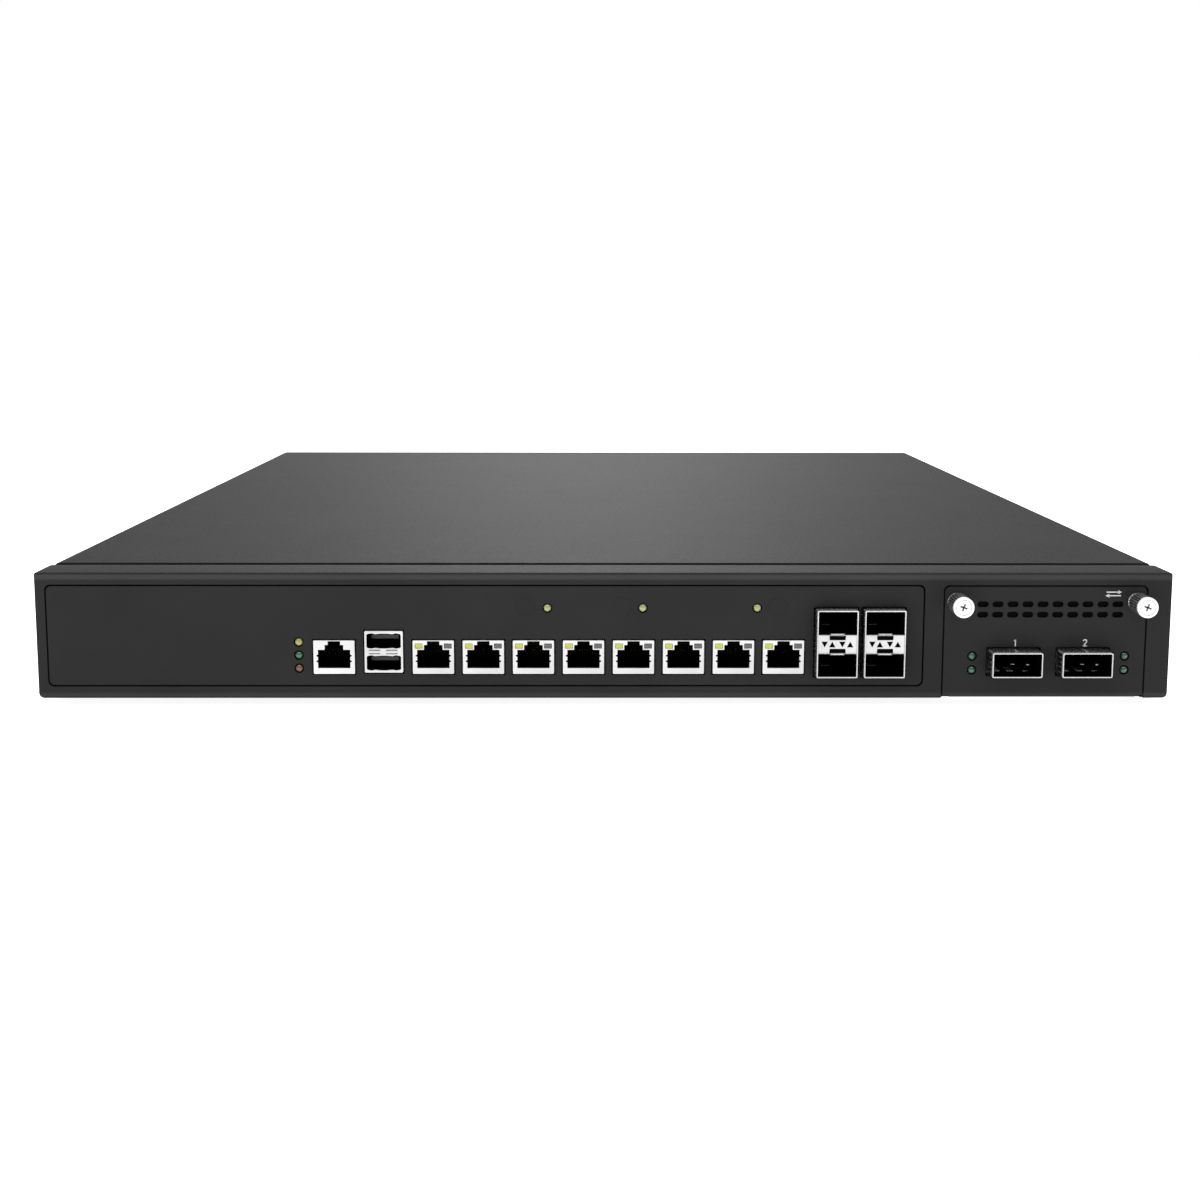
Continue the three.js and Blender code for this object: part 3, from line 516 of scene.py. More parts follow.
# Darkened and brightened copies of the thumbscrews' nickel: painted shade on the knurl, painted highlight on
# the face.
SHADED_KNURL_NICKEL = surface(
    "knurled_nickel_painted_shade", "nickel", (0.42, 0.42, 0.41), 0.36, 0.9, shift=0.2, grain=1200, relief=0.00002,
)
NICKEL = surface(
    "nickel_plate", "nickel", (0.9, 0.9, 0.88), 0.3, 0.55, shift=0.05, grain=1500, relief=0.00001,
)
LIT_NICKEL_FACE = surface(
    "nickel_face_painted_highlight", "nickel", (0.95, 0.95, 0.94), 0.42, 0.2, shift=0.04, grain=1500, relief=0.00001,
)
# A darkened copy of spring steel: painted shade for finger collars, inner leaves and recesses.
SHADED_SPRING = surface(
    "spring_steel_painted_shade", "tinned_steel", (0.09, 0.09, 0.09), 0.34, 1.0, shift=0.3, grain=900, relief=0.00001,
)
GOLD = surface("gold_contact", "tinned_steel", (0.78, 0.55, 0.2), 0.28, 1.0, shift=0.05, relief=0.000005)
ALUMINIUM = surface(
    "satin_aluminium", "aluminium", (0.5, 0.51, 0.52), 0.36, 0.95, stretch=(1, 0.1, 1), relief=0.00001,
)
BLACK = surface("black_plastic", "black_plastic", (0.012, 0.012, 0.012), 0.45, shift=0.15, relief=0.00002)
# Near-black painted shade, put where ports, vents and seams lie in shade; also the jack inserts' black
# plastic.
SHADE_BLACK = surface("port_interior_painted_shade", "black_plastic", (0.0016, 0.0016, 0.0016), 0.7, shift=0.2, specular=0.03)
CHIP = surface("chip_epoxy", "black_plastic", (0.02, 0.02, 0.021), 0.55, shift=0.2, relief=0.00003)
IVORY = surface("ivory_plastic", "black_plastic", (0.55, 0.52, 0.42), 0.45, shift=0.06)
RUBBER = surface(
    "foot_rubber", "rubber", (0.015, 0.015, 0.015), 0.85, shift=0.25, relief=0.00006, specular=0.25,
)
LEAD_YELLOW = surface("lead_insulation", "cable_sleeve", (0.42, 0.3, 0.02), 0.4, shift=0.1, relief=0.000005)
BOARD = solder_mask("circuit_board", "circuit_board", (0.012, 0.07, 0.028))
SLEEVE = woven("braided_sleeve", "cable_sleeve", (0.03, 0.03, 0.033), 0.7)
LAMP_PALE = lamp_glass("lamp_pale_yellow", "lamp_pale_yellow", (0.36, 0.36, 0.15))
LAMP_YELLOW = lamp_glass("lamp_yellow", "lamp_yellow", (0.33, 0.3, 0.08))
LAMP_GREEN = lamp_glass("lamp_green", "lamp_green", (0.022, 0.085, 0.048))
LAMP_DARK_GREEN = lamp_glass("lamp_dark_green", "lamp_green", (0.02, 0.1, 0.04))
LAMP_BROWN = lamp_glass("lamp_brown", "lamp_brown", (0.13, 0.05, 0.03))
LINK_LIT = lamp_glass("link_lamp_lit", "lamp_yellow", (0.42, 0.46, 0.02), 0.12)
LINK_OFF = lamp_glass("link_lamp_off", "lamp_pale_yellow", (0.05, 0.05, 0.05))

# ---------------------------------------------------------------- enclosure

SHEET = 1.2
SEAM = 0.6
FACE_T = 2.0
CLEAR = 0.3
panel_x = (-216, cad("front_panel")[0][1] - 1.5)
panel_z = (5, 44.5)
module_x, _, module_z = cad("module_faceplate")
cover_x, cover_y, cover_z = cad("top_cover")
tray_x, tray_y, tray_z = cad("base_chassis")
SCREWS = {side: [middle(span) for span in cad("screw_ferrule_" + side)] for side in ("left", "right")}


def front_bezel():
    wall = 1.5
    side, top, bottom = (bezel_x[1], bezel_z[1], bezel_z[0])
    outline = (
        arc(-side + 2.2, bottom + 2.2, 2.2, 180, 270, 7) + arc(side - 2.2, bottom + 2.2, 2.2, 270, 360, 7)
        + arc(side - 0.5, top - 0.5, 0.5, 0, 90, 4) + arc(-side + 0.5, top - 0.5, 0.5, 90, 180, 4)
    )
    nose = [(bezel_y[1], bottom), (bezel_y[1], top - 0.8), (bezel_y[1] - 4.6, top)]
    nose += arc(1.3, top - 1.3, 1.3, 90, 180, 8) + arc(1, bottom + 1, 1, 180, 270, 5)
    shell = Shape().plate([outline], bezel_y)
    shell.boolean(Shape().plate([nose], bezel_x, "x"), "INTERSECT")
    shell.boolean(Shape().box(grown(bezel_x, -wall), (FACE_T, bezel_y[1] + 1), (wall, top - wall)))
    panel_window = rect(grown(panel_x, SEAM / 2), grown(panel_z, SEAM / 2), 2.2)
    shell.boolean(Shape().plate([panel_window], (-1, FACE_T + 1)))
    ledge_y = (FACE_T / 2, FACE_T + CLEAR + 2)
    shell.boolean(Shape().box(grown(module_x, 3.8), ledge_y, (0.5, top - wall / 2)), "UNION")
    module_window = rect(grown(module_x, SEAM), (-1, module_z[1] + SEAM), 2.2, corners="top")
    shell.boolean(Shape().plate([module_window], (-1, FACE_T + CLEAR)))
    opening = (SCREWS["left"][0] - 3.2, SCREWS["right"][0] + 3.2)
    shell.boolean(Shape().box(opening, (-1, 6), (-1, module_z[1] - 1)))
    shell.boolean(Shape().box(grown(module_x, -0.22), (-1, bezel_y[1] + 1), (-1, 2)))
    for x, _, z in SCREWS.values():
        lug = Shape().plate([rect(about(x, 9), (z - 4.5, top - wall / 2)), circle(x, z, 1.8)], (8, 12))
        shell.boolean(lug, "UNION")
    # Its material paints highlight and shade in bands along the front edges.
    make("bezel_frame", shell, POWDER_PAINTED_EDGE_LIGHT, replaces="front_bezel", bevel=0.22)


def bent_channel(x, low, high, thickness, outer_r, inner_r, upside_down=False):
    """The section of a sheet folded to a U, in X and Z: two walls joined at the bottom, or at the top."""
    a, b = x
    outer = arc(a + outer_r, low + outer_r, outer_r, 180, 270, 6)
    outer += arc(b - outer_r, low + outer_r, outer_r, 270, 360, 6)
    ia, ib, il = a + thickness, b - thickness, low + thickness
    inner = arc(ib - inner_r, il + inner_r, inner_r, 360, 270, 4)
    inner += arc(ia + inner_r, il + inner_r, inner_r, 270, 180, 4)
    points = [(a, high)] + outer + [(b, high), (ib, high)] + inner + [(ia, high)]
    return [(u, low + high - v) for u, v in points] if upside_down else points


@functools.cache
def screw_head(radius, proud):
    """A low cross-recessed head on the z axis."""
    profile = [(0, -0.4), (radius, -0.4), (radius, proud * 0.3), (radius * 0.8, proud), (0, proud)]
    head = Shape().turned(profile, axis="z", sides=20)
    for u, v in ((radius, radius * 0.28), (radius * 0.28, radius)):
        head.boolean(Shape().box(about(0, u), about(0, v), (proud - 0.45, proud + 1)))
    return head


def flat_screw(shape, place, axis, radius=2.9, proud=0.5, sign=1):
    """A screw head standing on a face. sign turns it to the axis's low side."""
    quarter = math.pi / 2
    turns = {"z": Matrix(), "y": Matrix.Rotation(-quarter, 4, "X"), "x": Matrix.Rotation(quarter, 4, "Y")}
    turn = turns[axis]
    flip = Matrix.Rotation(math.pi if sign < 0 else 0, 4, "X" if axis != "x" else "Y")
    shape.add(screw_head(radius, proud), Matrix.Translation(place) @ turn @ flip)


def top_cover():
    section = bent_channel(cover_x, *cover_z, SHEET, 1.7, 0.5, upside_down=True)
    make("lid_sheet", Shape().plate([section], cover_y, bevel=0.12), POWDER, replaces="top_cover")
    screws = Shape()
    for y in (90, 300, 510):
        for sign in (-1, 1):
            flat_screw(screws, (sign * cover_x[1], y, middle(cover_z)), "x", sign=sign)
    make("lid_screws", screws, BLACK, body="cover")


FAN_CASES = ("fan_frame_1", "fan_frame_2", "fan_frame_3", "psu_fan_frame")
*FAN_CENTRES, PSU_FAN = ((middle(cad(n)[0]), middle(cad(n)[2])) for n in FAN_CASES)


def guard_windows(cx, cz):
    """The windows of a punched fan guard, between its three rings and four spokes."""
    windows = []
    bar, gap = 1.2, 2.65
    for quarter in range(4):
        for inner in (4 + (gap + bar) * i for i in range(4)):
            ends = [math.degrees(math.asin(bar / 2 / r)) for r in (inner, inner + gap)]
            start = 90 * quarter
            windows.append(
                arc(cx, cz, inner + gap, start + ends[1], start + 90 - ends[1], 8)
                + arc(cx, cz, inner, start + 90 - ends[0], start + ends[0], 6)
            )
    return windows


BOARD_SCREWS = [(x, y) for x in (-195, -40, 112) for y in (40, 170, 300) if (x, y) != (-40, 170)]


def base_tray():
    foot_places = [[middle(span) for span in cad(n)] for n in frame["nodes"] if n.startswith("foot_")]
    sheet_y = (bezel_y[1] + CLEAR, tray_y[1])
    tray = Shape().plate([bent_channel(tray_x, *tray_z, SHEET, 1.8, 0.6)], sheet_y, bevel=0.1)
    cuts = Shape()
    for x, y, _ in foot_places:
        cuts.plate([circle(x, y, 2.3, 16)], (-1, 2), "z")
    for i in range(6):
        cuts.plate([slot(110 + 16 * i, 22, 6, 16)], grown(tray_x, 2), "x")
    tray.boolean(cuts)
    for x in (tray_x[0] + SHEET / 2, tray_x[1] - SHEET / 2):
        tray.box(about(x, SHEET), (10, sheet_y[0] + 0.5), (4, tray_z[1]), 0.2)
    lip_z = (tray_z[1] - SHEET, tray_z[1] - 0.01)
    tray.box(grown(tray_x, -SHEET), (bezel_y[1] - 7, bezel_y[1] + 18), lip_z, 0.2)
    windows = [w for centre in FAN_CENTRES for w in guard_windows(*centre)]
    psu_x, _, psu_z = cad("psu_case")
    windows.append(rect(grown(psu_x, -3), grown(psu_z, -3), 1.5))
    for i in range(16):
        windows.append(slot(20 + 5.2 * i, 12, 2.4, 14))
        windows.append(slot(20 + 5.2 * i, 34, 2.4, 14))
    rear = rect(grown(tray_x, -SHEET - 0.05), (SHEET + 0.05, tray_z[1]))
    tray.plate([rear, *windows], (tray_y[1] - SHEET, tray_y[1]), bevel=0.1)
    board_low = cad("mainboard")[2][0]
    for x, y in BOARD_SCREWS:
        tray.rod(2.6, (SHEET, board_low - CLEAR), (x, y, 0), "z", 6)
    make("tray_sheet", tray, ZINC, replaces="base_chassis")
    screws = Shape()
    for cx, cz in (*FAN_CENTRES, PSU_FAN):
        for dx, dz in ((-16, -16), (16, -16), (16, 16), (-16, 16)):
            flat_screw(screws, (cx + dx, tray_y[1], cz + dz), "y", 2.6, 0.7)
    for x in (-205, 0, 112):
        flat_screw(screws, (x, tray_y[1], 43), "y", 2.4, 0.6)
    make("rear_screws", screws, NICKEL)


def rubber_feet():
    low, high = cad("foot_front_left")[2]
    centre = [middle(span) for span in cad("foot_front_left")]
    profile = [(0, low + 1.4), (3.2, low + 1.4), (3.4, low), (7.4, low), (8, low + 0.5), (9, -CLEAR - 0.4)]
    profile += [(8.8, -CLEAR), (2, -CLEAR), (2, high), (0, high)]
    foot = Shape().turned(profile, (centre[0], centre[1], 0), "z", 36)
    first = make("rubber_foot_front_left", foot, RUBBER, replaces="foot_front_left")
    for place in ("front_right", "rear_left", "rear_right"):
        shift = [middle(b) - middle(a) for a, b in zip(cad("foot_front_left"), cad("foot_" + place))]
        again(first, "rubber_foot_" + place, shift, "foot_" + place)


# ---------------------------------------------------------------- front panel and its connectors

JACK_H = 13.2
JACKS = ["console_jack"] + [f"lan_jack_{i}" for i in range(1, 9)]
JACK_Z = (cad("lan_jack_1")[2][1] - JACK_H, cad("lan_jack_1")[2][1])
USB_H = 16.4
usb_x, usb_y, usb_z = cad("usb_shell")
usb_z = (usb_z[1] - USB_H, usb_z[1])
LED_R = 1.5
LED_HOLE_R = 1.9


def lamp_place(node):
    """Where a lamp's dome sits: its x, and its z for a single lamp."""
    x, _, z = cad(node)
    heights = {"bypass": z[1] - LED_R, "status": z[1] - 2.4}
    return middle(x), heights[node.split("_")[0]]


def panel_holes():
    holes = [rect(grown(cad(n)[0], 0.5), grown(JACK_Z, 0.5), 0.3, 2) for n in JACKS]
    holes.append(rect(grown(usb_x, 0.5), grown(usb_z, 0.5), 0.4, 2))
    for side in ("left", "right"):
        x, _, z = cad("sfp_cage_" + side)
        holes.append(rect(grown(x, 0.9), grown(z, 0.7), 0.4, 2))
    lamps = [n for n in frame["nodes"] if n.startswith(("status_led", "bypass_led"))]
    return holes + [circle(*lamp_place(n), LED_HOLE_R, 20) for n in lamps]


def front_panel():
    holes = panel_holes()
    face = rect(grown(panel_x, -SEAM / 2), grown(panel_z, -SEAM / 2), 2)
    panel = Shape().plate([face, *holes], (0, FACE_T + CLEAR), bevel=0.14)
    back_y = (FACE_T + CLEAR - 0.02, FACE_T + CLEAR + SHEET)
    back_x, _, back_z = cad("front_panel")
    panel.plate([rect(back_x, back_z, 1), *holes], back_y)
    for z in (back_z[0], back_z[1] - SHEET):
        panel.box(grown(panel_x, -4), (back_y[1] - 0.1, back_y[1] + 7), (z, z + SHEET), 0.15)
    # A near-black frame at the floor of the seam round the panel paints the groove in shade.
    edges = (SEAM / 2 - 0.02, 0.02 - SEAM / 2)
    seam_shade = [rect(grown(panel_x, edge), grown(panel_z, edge), 2) for edge in edges]
    make("panel_seam_painted_shade", Shape().plate(seam_shade, (1.5, FACE_T + CLEAR - 0.03)), SHADE_BLACK)
    make("panel_plate", panel, POWDER, replaces="front_panel")
    heads = Shape()
    for x in (-30.8, 6.6, 67.2):
        profile = [(0, -0.02), (3.35, -0.02), (3.45, -0.1), (3.6, -0.1), (3.7, 0), (3.7, 0.2), (0, 0.2)]
        heads.turned(profile, (x, 0, 36.1), sides=48)
    make("panel_stud_heads", heads, POWDER, body="chassis")


def jack_opening():
    """The stepped mouth of a jack, with two small spring slots in each side."""
    half, latch, neck = 6.25, 3.6, 2.4
    right = [(half, 2.3)]
    for z in (4.6, 6.8):
        right += [(half, z), (half + 0.6, z + 0.2), (half + 0.6, z + 0.6), (half, z + 0.8)]
    right += [(half, 9.5), (latch, 9.5), (latch, 11.4), (neck, 11.4), (neck, 12.9)]
    return mirrored(right)


def raised(outline, x, z):
    return [(x + u, z + v) for u, v in outline]


def network_jacks():
    """One jack drawn at each kind's first place, and copied along the row."""
    for names, lit in ((JACKS[:1], False), (JACKS[1:], True)):
        x0 = middle(cad(names[0])[0])
        z0 = JACK_Z[0]
        front, back = cad(names[0])[1]
        mouth = raised(jack_opening(), x0, z0)
        outer = rect(about(x0, 16), JACK_Z, 0.35, 3)
        windows = []
        if lit:
            windows = [rect(about(x0 + dx, 3.0), (z0 + 10.05, z0 + 12.0), 0.2, 2) for dx in (-5.65, 5.65)]
        shell = Shape().plate([outer, mouth, *windows], (front, front + 0.4), bevel=0.09)
        inner = rect(about(x0, 15.5), grown(JACK_Z, -0.25), 0.2, 3)
        shell.plate([outer, inner], (front + 0.35, back))
        shell.box(about(x0, 15.6), (back - 0.3, back - 0.02), grown(JACK_Z, -0.2))
        shell.box(about(x0, 14.6), (6.5, back - 1.5), (z0 - 0.8, z0 + 0.1), 0.1)
        pieces = {"shell": make(names[0] + "_shell", shell, TIN, replaces=names[0])}
        # The insert's black plastic is drawn in the painted-shade near-black, which also paints the jack's
        # mouth in shade.
        body_y = (front + 0.42, back - 0.6)
        insert = Shape().plate([rect(about(x0, 15.3), grown(JACK_Z, -0.35)), mouth], body_y)
        insert.box(about(x0, 12.8), (body_y[1] - 5, body_y[1] - 0.05), (z0 + 1.9, z0 + 12.75))
        pieces["insert"] = make(names[0] + "_insert", insert, SHADE_BLACK)
        contacts = Shape()
        for i in range(8):
            x = x0 + 1.02 * (i - 3.5)
            bend = ((15.5, 9.2), (7.5, 9.1), (6.8, 8.6), (14.5, 5.4))
            contacts.tube([(x, y, z0 + z) for y, z in bend], 0.17, 6)
        pieces["contacts"] = make(names[0] + "_contacts", contacts, GOLD)
        if lit:
            for key, dx, glass in (("link_lamp", -5.65, LINK_LIT), ("speed_lamp", 5.65, LINK_OFF)):
                lamp = Shape().box(about(x0 + dx, 2.9), (front + 0.1, 5), (z0 + 10.1, z0 + 11.95), 0.25)
                pieces[key] = make(names[0] + "_" + key, lamp, glass)
        for name in names[1:]:
            twins(pieces, names[0], name)


def usb_stack():
    x0, z0 = middle(usb_x), usb_z[0]
    front, back = usb_y
    mouths = []
    for low in (0.95, 9.6):
        top, bottom = low + 5.8, low
        wave = [(6.65, top - 0.5), (6.1, top - 0.1), (4.6, top + 0.1), (3.4, top - 0.25), (1.2, top - 0.05)]
        floor = [(1.2, bottom - 0.05), (3.4, bottom + 0.2), (4.6, bottom - 0.1), (6.1, bottom + 0.1)]
        floor.append((6.65, bottom + 0.5))
        mouths.append(raised(mirrored([*floor, *wave]), x0, z0))
    slits = []
    for dx in (-3.6, 3.1):
        for sign in (-1, 1):
            slits.append(slot(x0 + dx, z0 + 8.2 + 0.7 * sign, 4.4, 0.26, 3))
    outer = rect(usb_x, usb_z, 0.5, 4)
    shell = Shape().plate([outer, *mouths, *slits], (front, front + 0.35), bevel=0.07)
    shell.plate([outer, rect(grown(usb_x, -0.3), grown(usb_z, -0.3), 0.3, 4)], (front + 0.3, back))
    for dx in (-3.6, 3.1):
        tab = slot(x0 + dx, z0 + 8.2, 4.6, 1.1, 5)
        shell.plate([tab], (front - 0.22, front + 0.1), bevel=0.1)
    shell.box(grown(usb_x, -0.2), (7, back), (z0 - 1.3, z0 + 0.1), 0.1)
    make("usb_stack_shell", shell, TIN, replaces="usb_shell")
    # A near-black lining paints the inside of the two mouths in shade.
    liner = Shape().plate([rect(grown(usb_x, -0.35), grown(usb_z, -0.35)), *mouths], (front + 0.37, 13))
    liner.box(grown(usb_x, -0.4), (13, 13.4), grown(usb_z, -0.4))
    make("usb_stack_liner", liner, SHADE_BLACK)
    tongues = Shape()
    pads = Shape()
    for low in (1.1, 9.75):
        tongues.box(about(x0, 11), (5.2, 13.1), (z0 + low + 2.6, z0 + low + 4.4), 0.25)
        for i in range(4):
            pads.box(about(x0 + 2.3 * (i - 1.5), 1), (6.5, 11), (z0 + low + 2.5, z0 + low + 2.75), 0.05)
    make("usb_stack_tongues", tongues, BLACK, replaces="usb_tongues")
    make("usb_stack_pads", pads, GOLD)


def spring_fingers(x, z, y, out, pitch, edges="all"):
    """A collar of bent fingers round a cage, bulging where the front plate's hole presses on them."""
    shape = Shape()
    depth = y[1] - y[0]
    section = [(0, 0), (0.2 * depth, out * 0.8), (0.45 * depth, out), (0.8 * depth, out * 0.6), (depth, 0.05)]
    thick = 0.16
    for axis, along, across in (("z", x, z), ("x", z, x)):
        count = max(2, round((along[1] - along[0]) / pitch))
        step = (along[1] - along[0]) / count
        for i in range(count):
            centre = along[0] + step * (i + 0.5)
            span = about(centre, step * 0.68)
            for sign, edge in ((-1, across[0]), (1, across[1])):
                if edges != "all" and (edges == "top") != (axis == "z" and sign > 0):
                    continue
                upper = [(y[0] + u, edge + sign * (v + thick)) for u, v in section]
                lower = [(y[0] + u, edge + sign * v) for u, v in reversed(section)]
                outline = upper + lower
                if axis == "z":
                    shape.plate([outline], span, "x")
                else:
                    shape.plate([[(v, u) for u, v in outline]], span, "z")
    return shape


def triangle(cx, cz, width, height, up):
    tip = height / 2 if up else -height / 2
    return [(cx - width / 2, cz - tip), (cx + width / 2, cz - tip), (cx, cz + tip)]


def stacked_cages():
    pieces = {}
    x, y, z = cad("sfp_cage_left")
    x0, z0, wall = middle(x), z[0], 0.42
    low, high, top = 9.65, 16.75, 26.4
    outer = rect(x, z, 0.5, 3)
    ports = [rect(grown(x, -wall), (z0 + a, z0 + b), 0.3, 2) for a, b in ((wall, low), (high, top - wall))]
    strip = rect(grown(x, -wall), (z0 + low, z0 + high), 0.05, 1)
    shell = Shape().plate([outer, ports[0], strip, ports[1]], (y[0], y[0] + 1.2), bevel=0.07)
    shell.plate([outer, rect(grown(x, -0.3), grown(z, -0.3), 0.3, 3)], (y[0] + 1.1, y[1]))
    shell.box(grown(x, -0.3), (y[1] - 0.4, y[1]), grown(z, -0.3))
    pieces["shell"] = make("sfp_cage_left_shell", shell, TIN, replaces="sfp_cage_left")
    half = x[1] - x0 - wall - 0.05
    notch = [(-3.2, high), (-3.05, high - 1.85), (3.05, high - 1.85), (3.2, high)]
    edge = [(half, low), (half, high)] + list(reversed(notch)) + [(-half, high), (-half, low)]
    edge += [(u, low + high - v) for u, v in notch]
    marks = [
        triangle(x0 + dx, z0 + (low + high) / 2, 2.5, 2.25, up)
        for dx, up in ((-5.0, False), (-2.05, True), (1.85, False), (4.9, True))
    ]
    badge = Shape().plate([raised(edge, x0, z0), *marks], (y[0] + 0.3, y[0] + 0.7), bevel=0.06)
    for start, sign in ((high, 1), (low, -1)):
        tongue = [(-2.1, 0.15), (2.1, 0.15), (2.9, 0.6), (-2.9, 0.6)][::sign]
        tongue = [(x0 + u, z0 + start + sign * v) for u, v in tongue]
        badge.plate([tongue], (y[0] + 0.5, y[0] + 0.75), bevel=0.05)
        spring = [(-2.2, -1.2), (-1.2, -1.2), (-1.4, -0.4), (-2.2, -0.4)][::-sign]
        spring = [(x0 + u, z0 + start + sign * v) for u, v in spring]
        badge.plate([spring], (y[0] + 5, y[0] + 5.2))
    pieces["badge"] = make("sfp_cage_left_badge", badge, TIN)
    # A near-black lining paints the inside of the two ports in shade.
    liner = Shape().plate([rect(grown(x, -0.33), grown(z, -0.33)), *ports], (y[0] + 1.25, y[1] - 6))
    liner.box(grown(x, -0.5), (y[1] - 6.2, y[1] - 5.6), grown(z, -0.5))
    pieces["liner"] = make("sfp_cage_left_liner", liner, SHADE_BLACK)
    # The leaves inside and the finger collar take the darkened copy of spring steel: painted shade.
    leaves = Shape()
    for base in (wall, high):
        for dx in (-4.4, 4.4):
            leaves.box(about(x0 + dx, 2.2), (y[0] + 4, y[0] + 16), (z0 + base + 8.5, z0 + base + 8.8), 0.05)
        leaves.box(about(x0 - 3.2, 3.4), (y[0] + 12, y[0] + 17), (z0 + base + 2.2, z0 + base + 2.4), 0.05)
    pieces["leaves"] = make("sfp_cage_left_leaves", leaves, SHADED_SPRING)
    fingers = spring_fingers(x, z, (-3.3, 0.2), 0.62, 2.1)
    pieces["fingers"] = make("sfp_cage_left_fingers", fingers, SHADED_SPRING)
    twins(pieces, "sfp_cage_left", "sfp_cage_right")


def lamp_dome(shape, x, z, back):
    profile = [(0, -0.6)]
    for i in range(1, 9):
        turn = math.pi / 2 * i / 8
        profile.append((LED_R * math.sin(turn), 0.9 - LED_R * math.cos(turn)))
    shape.turned(profile + [(LED_R, back), (0, back)], (x, 0, z), sides=28)


def panel_lamps():
    for level, material in (("bottom", LAMP_BROWN), ("middle", LAMP_DARK_GREEN), ("top", LAMP_YELLOW)):
        name = "status_led_" + level
        x, z = lamp_place(name)
        dome = Shape()
        lamp_dome(dome, x, z, 5.2)
        make(name + "_dome", dome, material, replaces=name)
        _, y, span = cad(name)
        make(name + "_holder", Shape().box(about(x, 4.4), (4.7, y[1]), span, 0.3), BLACK)
    for i in (1, 2, 3):
        name = f"bypass_led_{i}"
        x, z = lamp_place(name)
        pipe = Shape()
        lamp_dome(pipe, x, z, 26)
        make(name + "_pipe", pipe, LAMP_PALE, replaces=name)
        span = cad(name)[2]
        make(name + "_post", Shape().box(about(x, 3.6), (24.5, 28), (span[0], z + 1.9), 0.3), BLACK)


front_bezel()
top_cover()
base_tray()
rubber_feet()
front_panel()
network_jacks()
usb_stack()
stacked_cages()
panel_lamps()

# ---------------------------------------------------------------- slide-in module

MODULE = "slide_in_module"
module_lamps_z = (11.3, 16.8)
vent_x = (146.8, 199.3)


def module_faceplate():
    x, (low, high) = module_x, module_z
    notch, rise, roll = 2.7, 0.9, 1.3
    right = arc(x[1] - 2, high - 2, 2, 0, 90, 5)
    left = arc(x[0] + 2, high - 2, 2, 90, 180, 5)
    inner = grown(x, -notch)
    foot = [(x[0], rise), (inner[0], rise), (inner[0], roll)]
    foot += [(inner[1], roll), (inner[1], rise), (x[1], rise)]
    face = [(u, low + v) for u, v in foot] + right + left
    holes = []
    for row in (33.1, 37.2):
        holes += [slot(vent_x[0] + (vent_x[1] - vent_x[0]) * i / 9, row, 4.35, 2.3, 6) for i in range(10)]
    holes += [circle(screw[0], screw[2], 3.2, 32) for screw in SCREWS.values()]
    for n in ("qsfp_cage_1", "qsfp_cage_2"):
        cage_x, _, cage_z = cad(n)
        holes.append(rect(grown(cage_x, 0.9), grown(cage_z, 0.9), 0.5, 3))
    for side in ("left", "right"):
        holes += [circle(middle(cad("module_led_" + side)[0]), z, LED_HOLE_R, 20) for z in module_lamps_z]
    plate = Shape().plate([face, *holes], (0, FACE_T), bevel=0.16)
    bend = arc(roll, roll, roll, 180, 270, 8) + [(12, 0), (12, SHEET), (FACE_T + 0.8, SHEET)]
    bend += arc(FACE_T + 0.8, SHEET + 0.8, 0.8, 270, 180, 4) + [(FACE_T, roll + 0.05), (0, roll + 0.05)]
    plate.plate([raised(bend, 0, low)], grown(x, -notch), "x", bevel=0.1)
    board_low = cad("module_board")[2][0]
    for post in (SCREWS["left"][0] + 3, middle(module_x), SCREWS["right"][0] - 3):
        plate.rod(2, (low + 1, board_low - CLEAR), (post, 8.5, 0), "z", 6)
    # The faceplate shares the bezel's painted highlight and shade, banded by height.
    make("module_face", plate, POWDER_PAINTED_EDGE_LIGHT, replaces="module_faceplate")
    # A near-black sheet behind the vents and the bottom notches paints the space behind them in shade.
    vent_shade = Shape().box(grown(vent_x, 4), (FACE_T + 0.5, FACE_T + 1.1), (30.8, 39.5), 0.1)
    for row in (33.1, 37.2):
        for i in range(10):
            place = vent_x[0] + (vent_x[1] - vent_x[0]) * i / 9
            vent_shade.plate([slot(place, row, 4.3, 2.25, 6)], (0.9, FACE_T + 0.6))
    for side in ((x[0] + 0.1, x[0] + notch + 0.5), (x[1] - notch - 0.5, x[1] - 0.1)):
        vent_shade.box(side, (1.4, 3), (low + 0.1, low + 1.6), 0.1)
    make("module_vent_painted_shade", vent_shade, SHADE_BLACK, body=MODULE)


def stroke(points, width):
    """The outline of a pen stroke of even width along points."""
    left, right = [], []
    for i, point in enumerate(points):
        a, b = Vector(points[max(0, i - 1)]), Vector(points[min(len(points) - 1, i + 1)])
        side = (b - a).normalized().orthogonal() * width / 2
        left.append(tuple(Vector(point) + side))
        right.append(tuple(Vector(point) - side))
    return left + right[::-1]


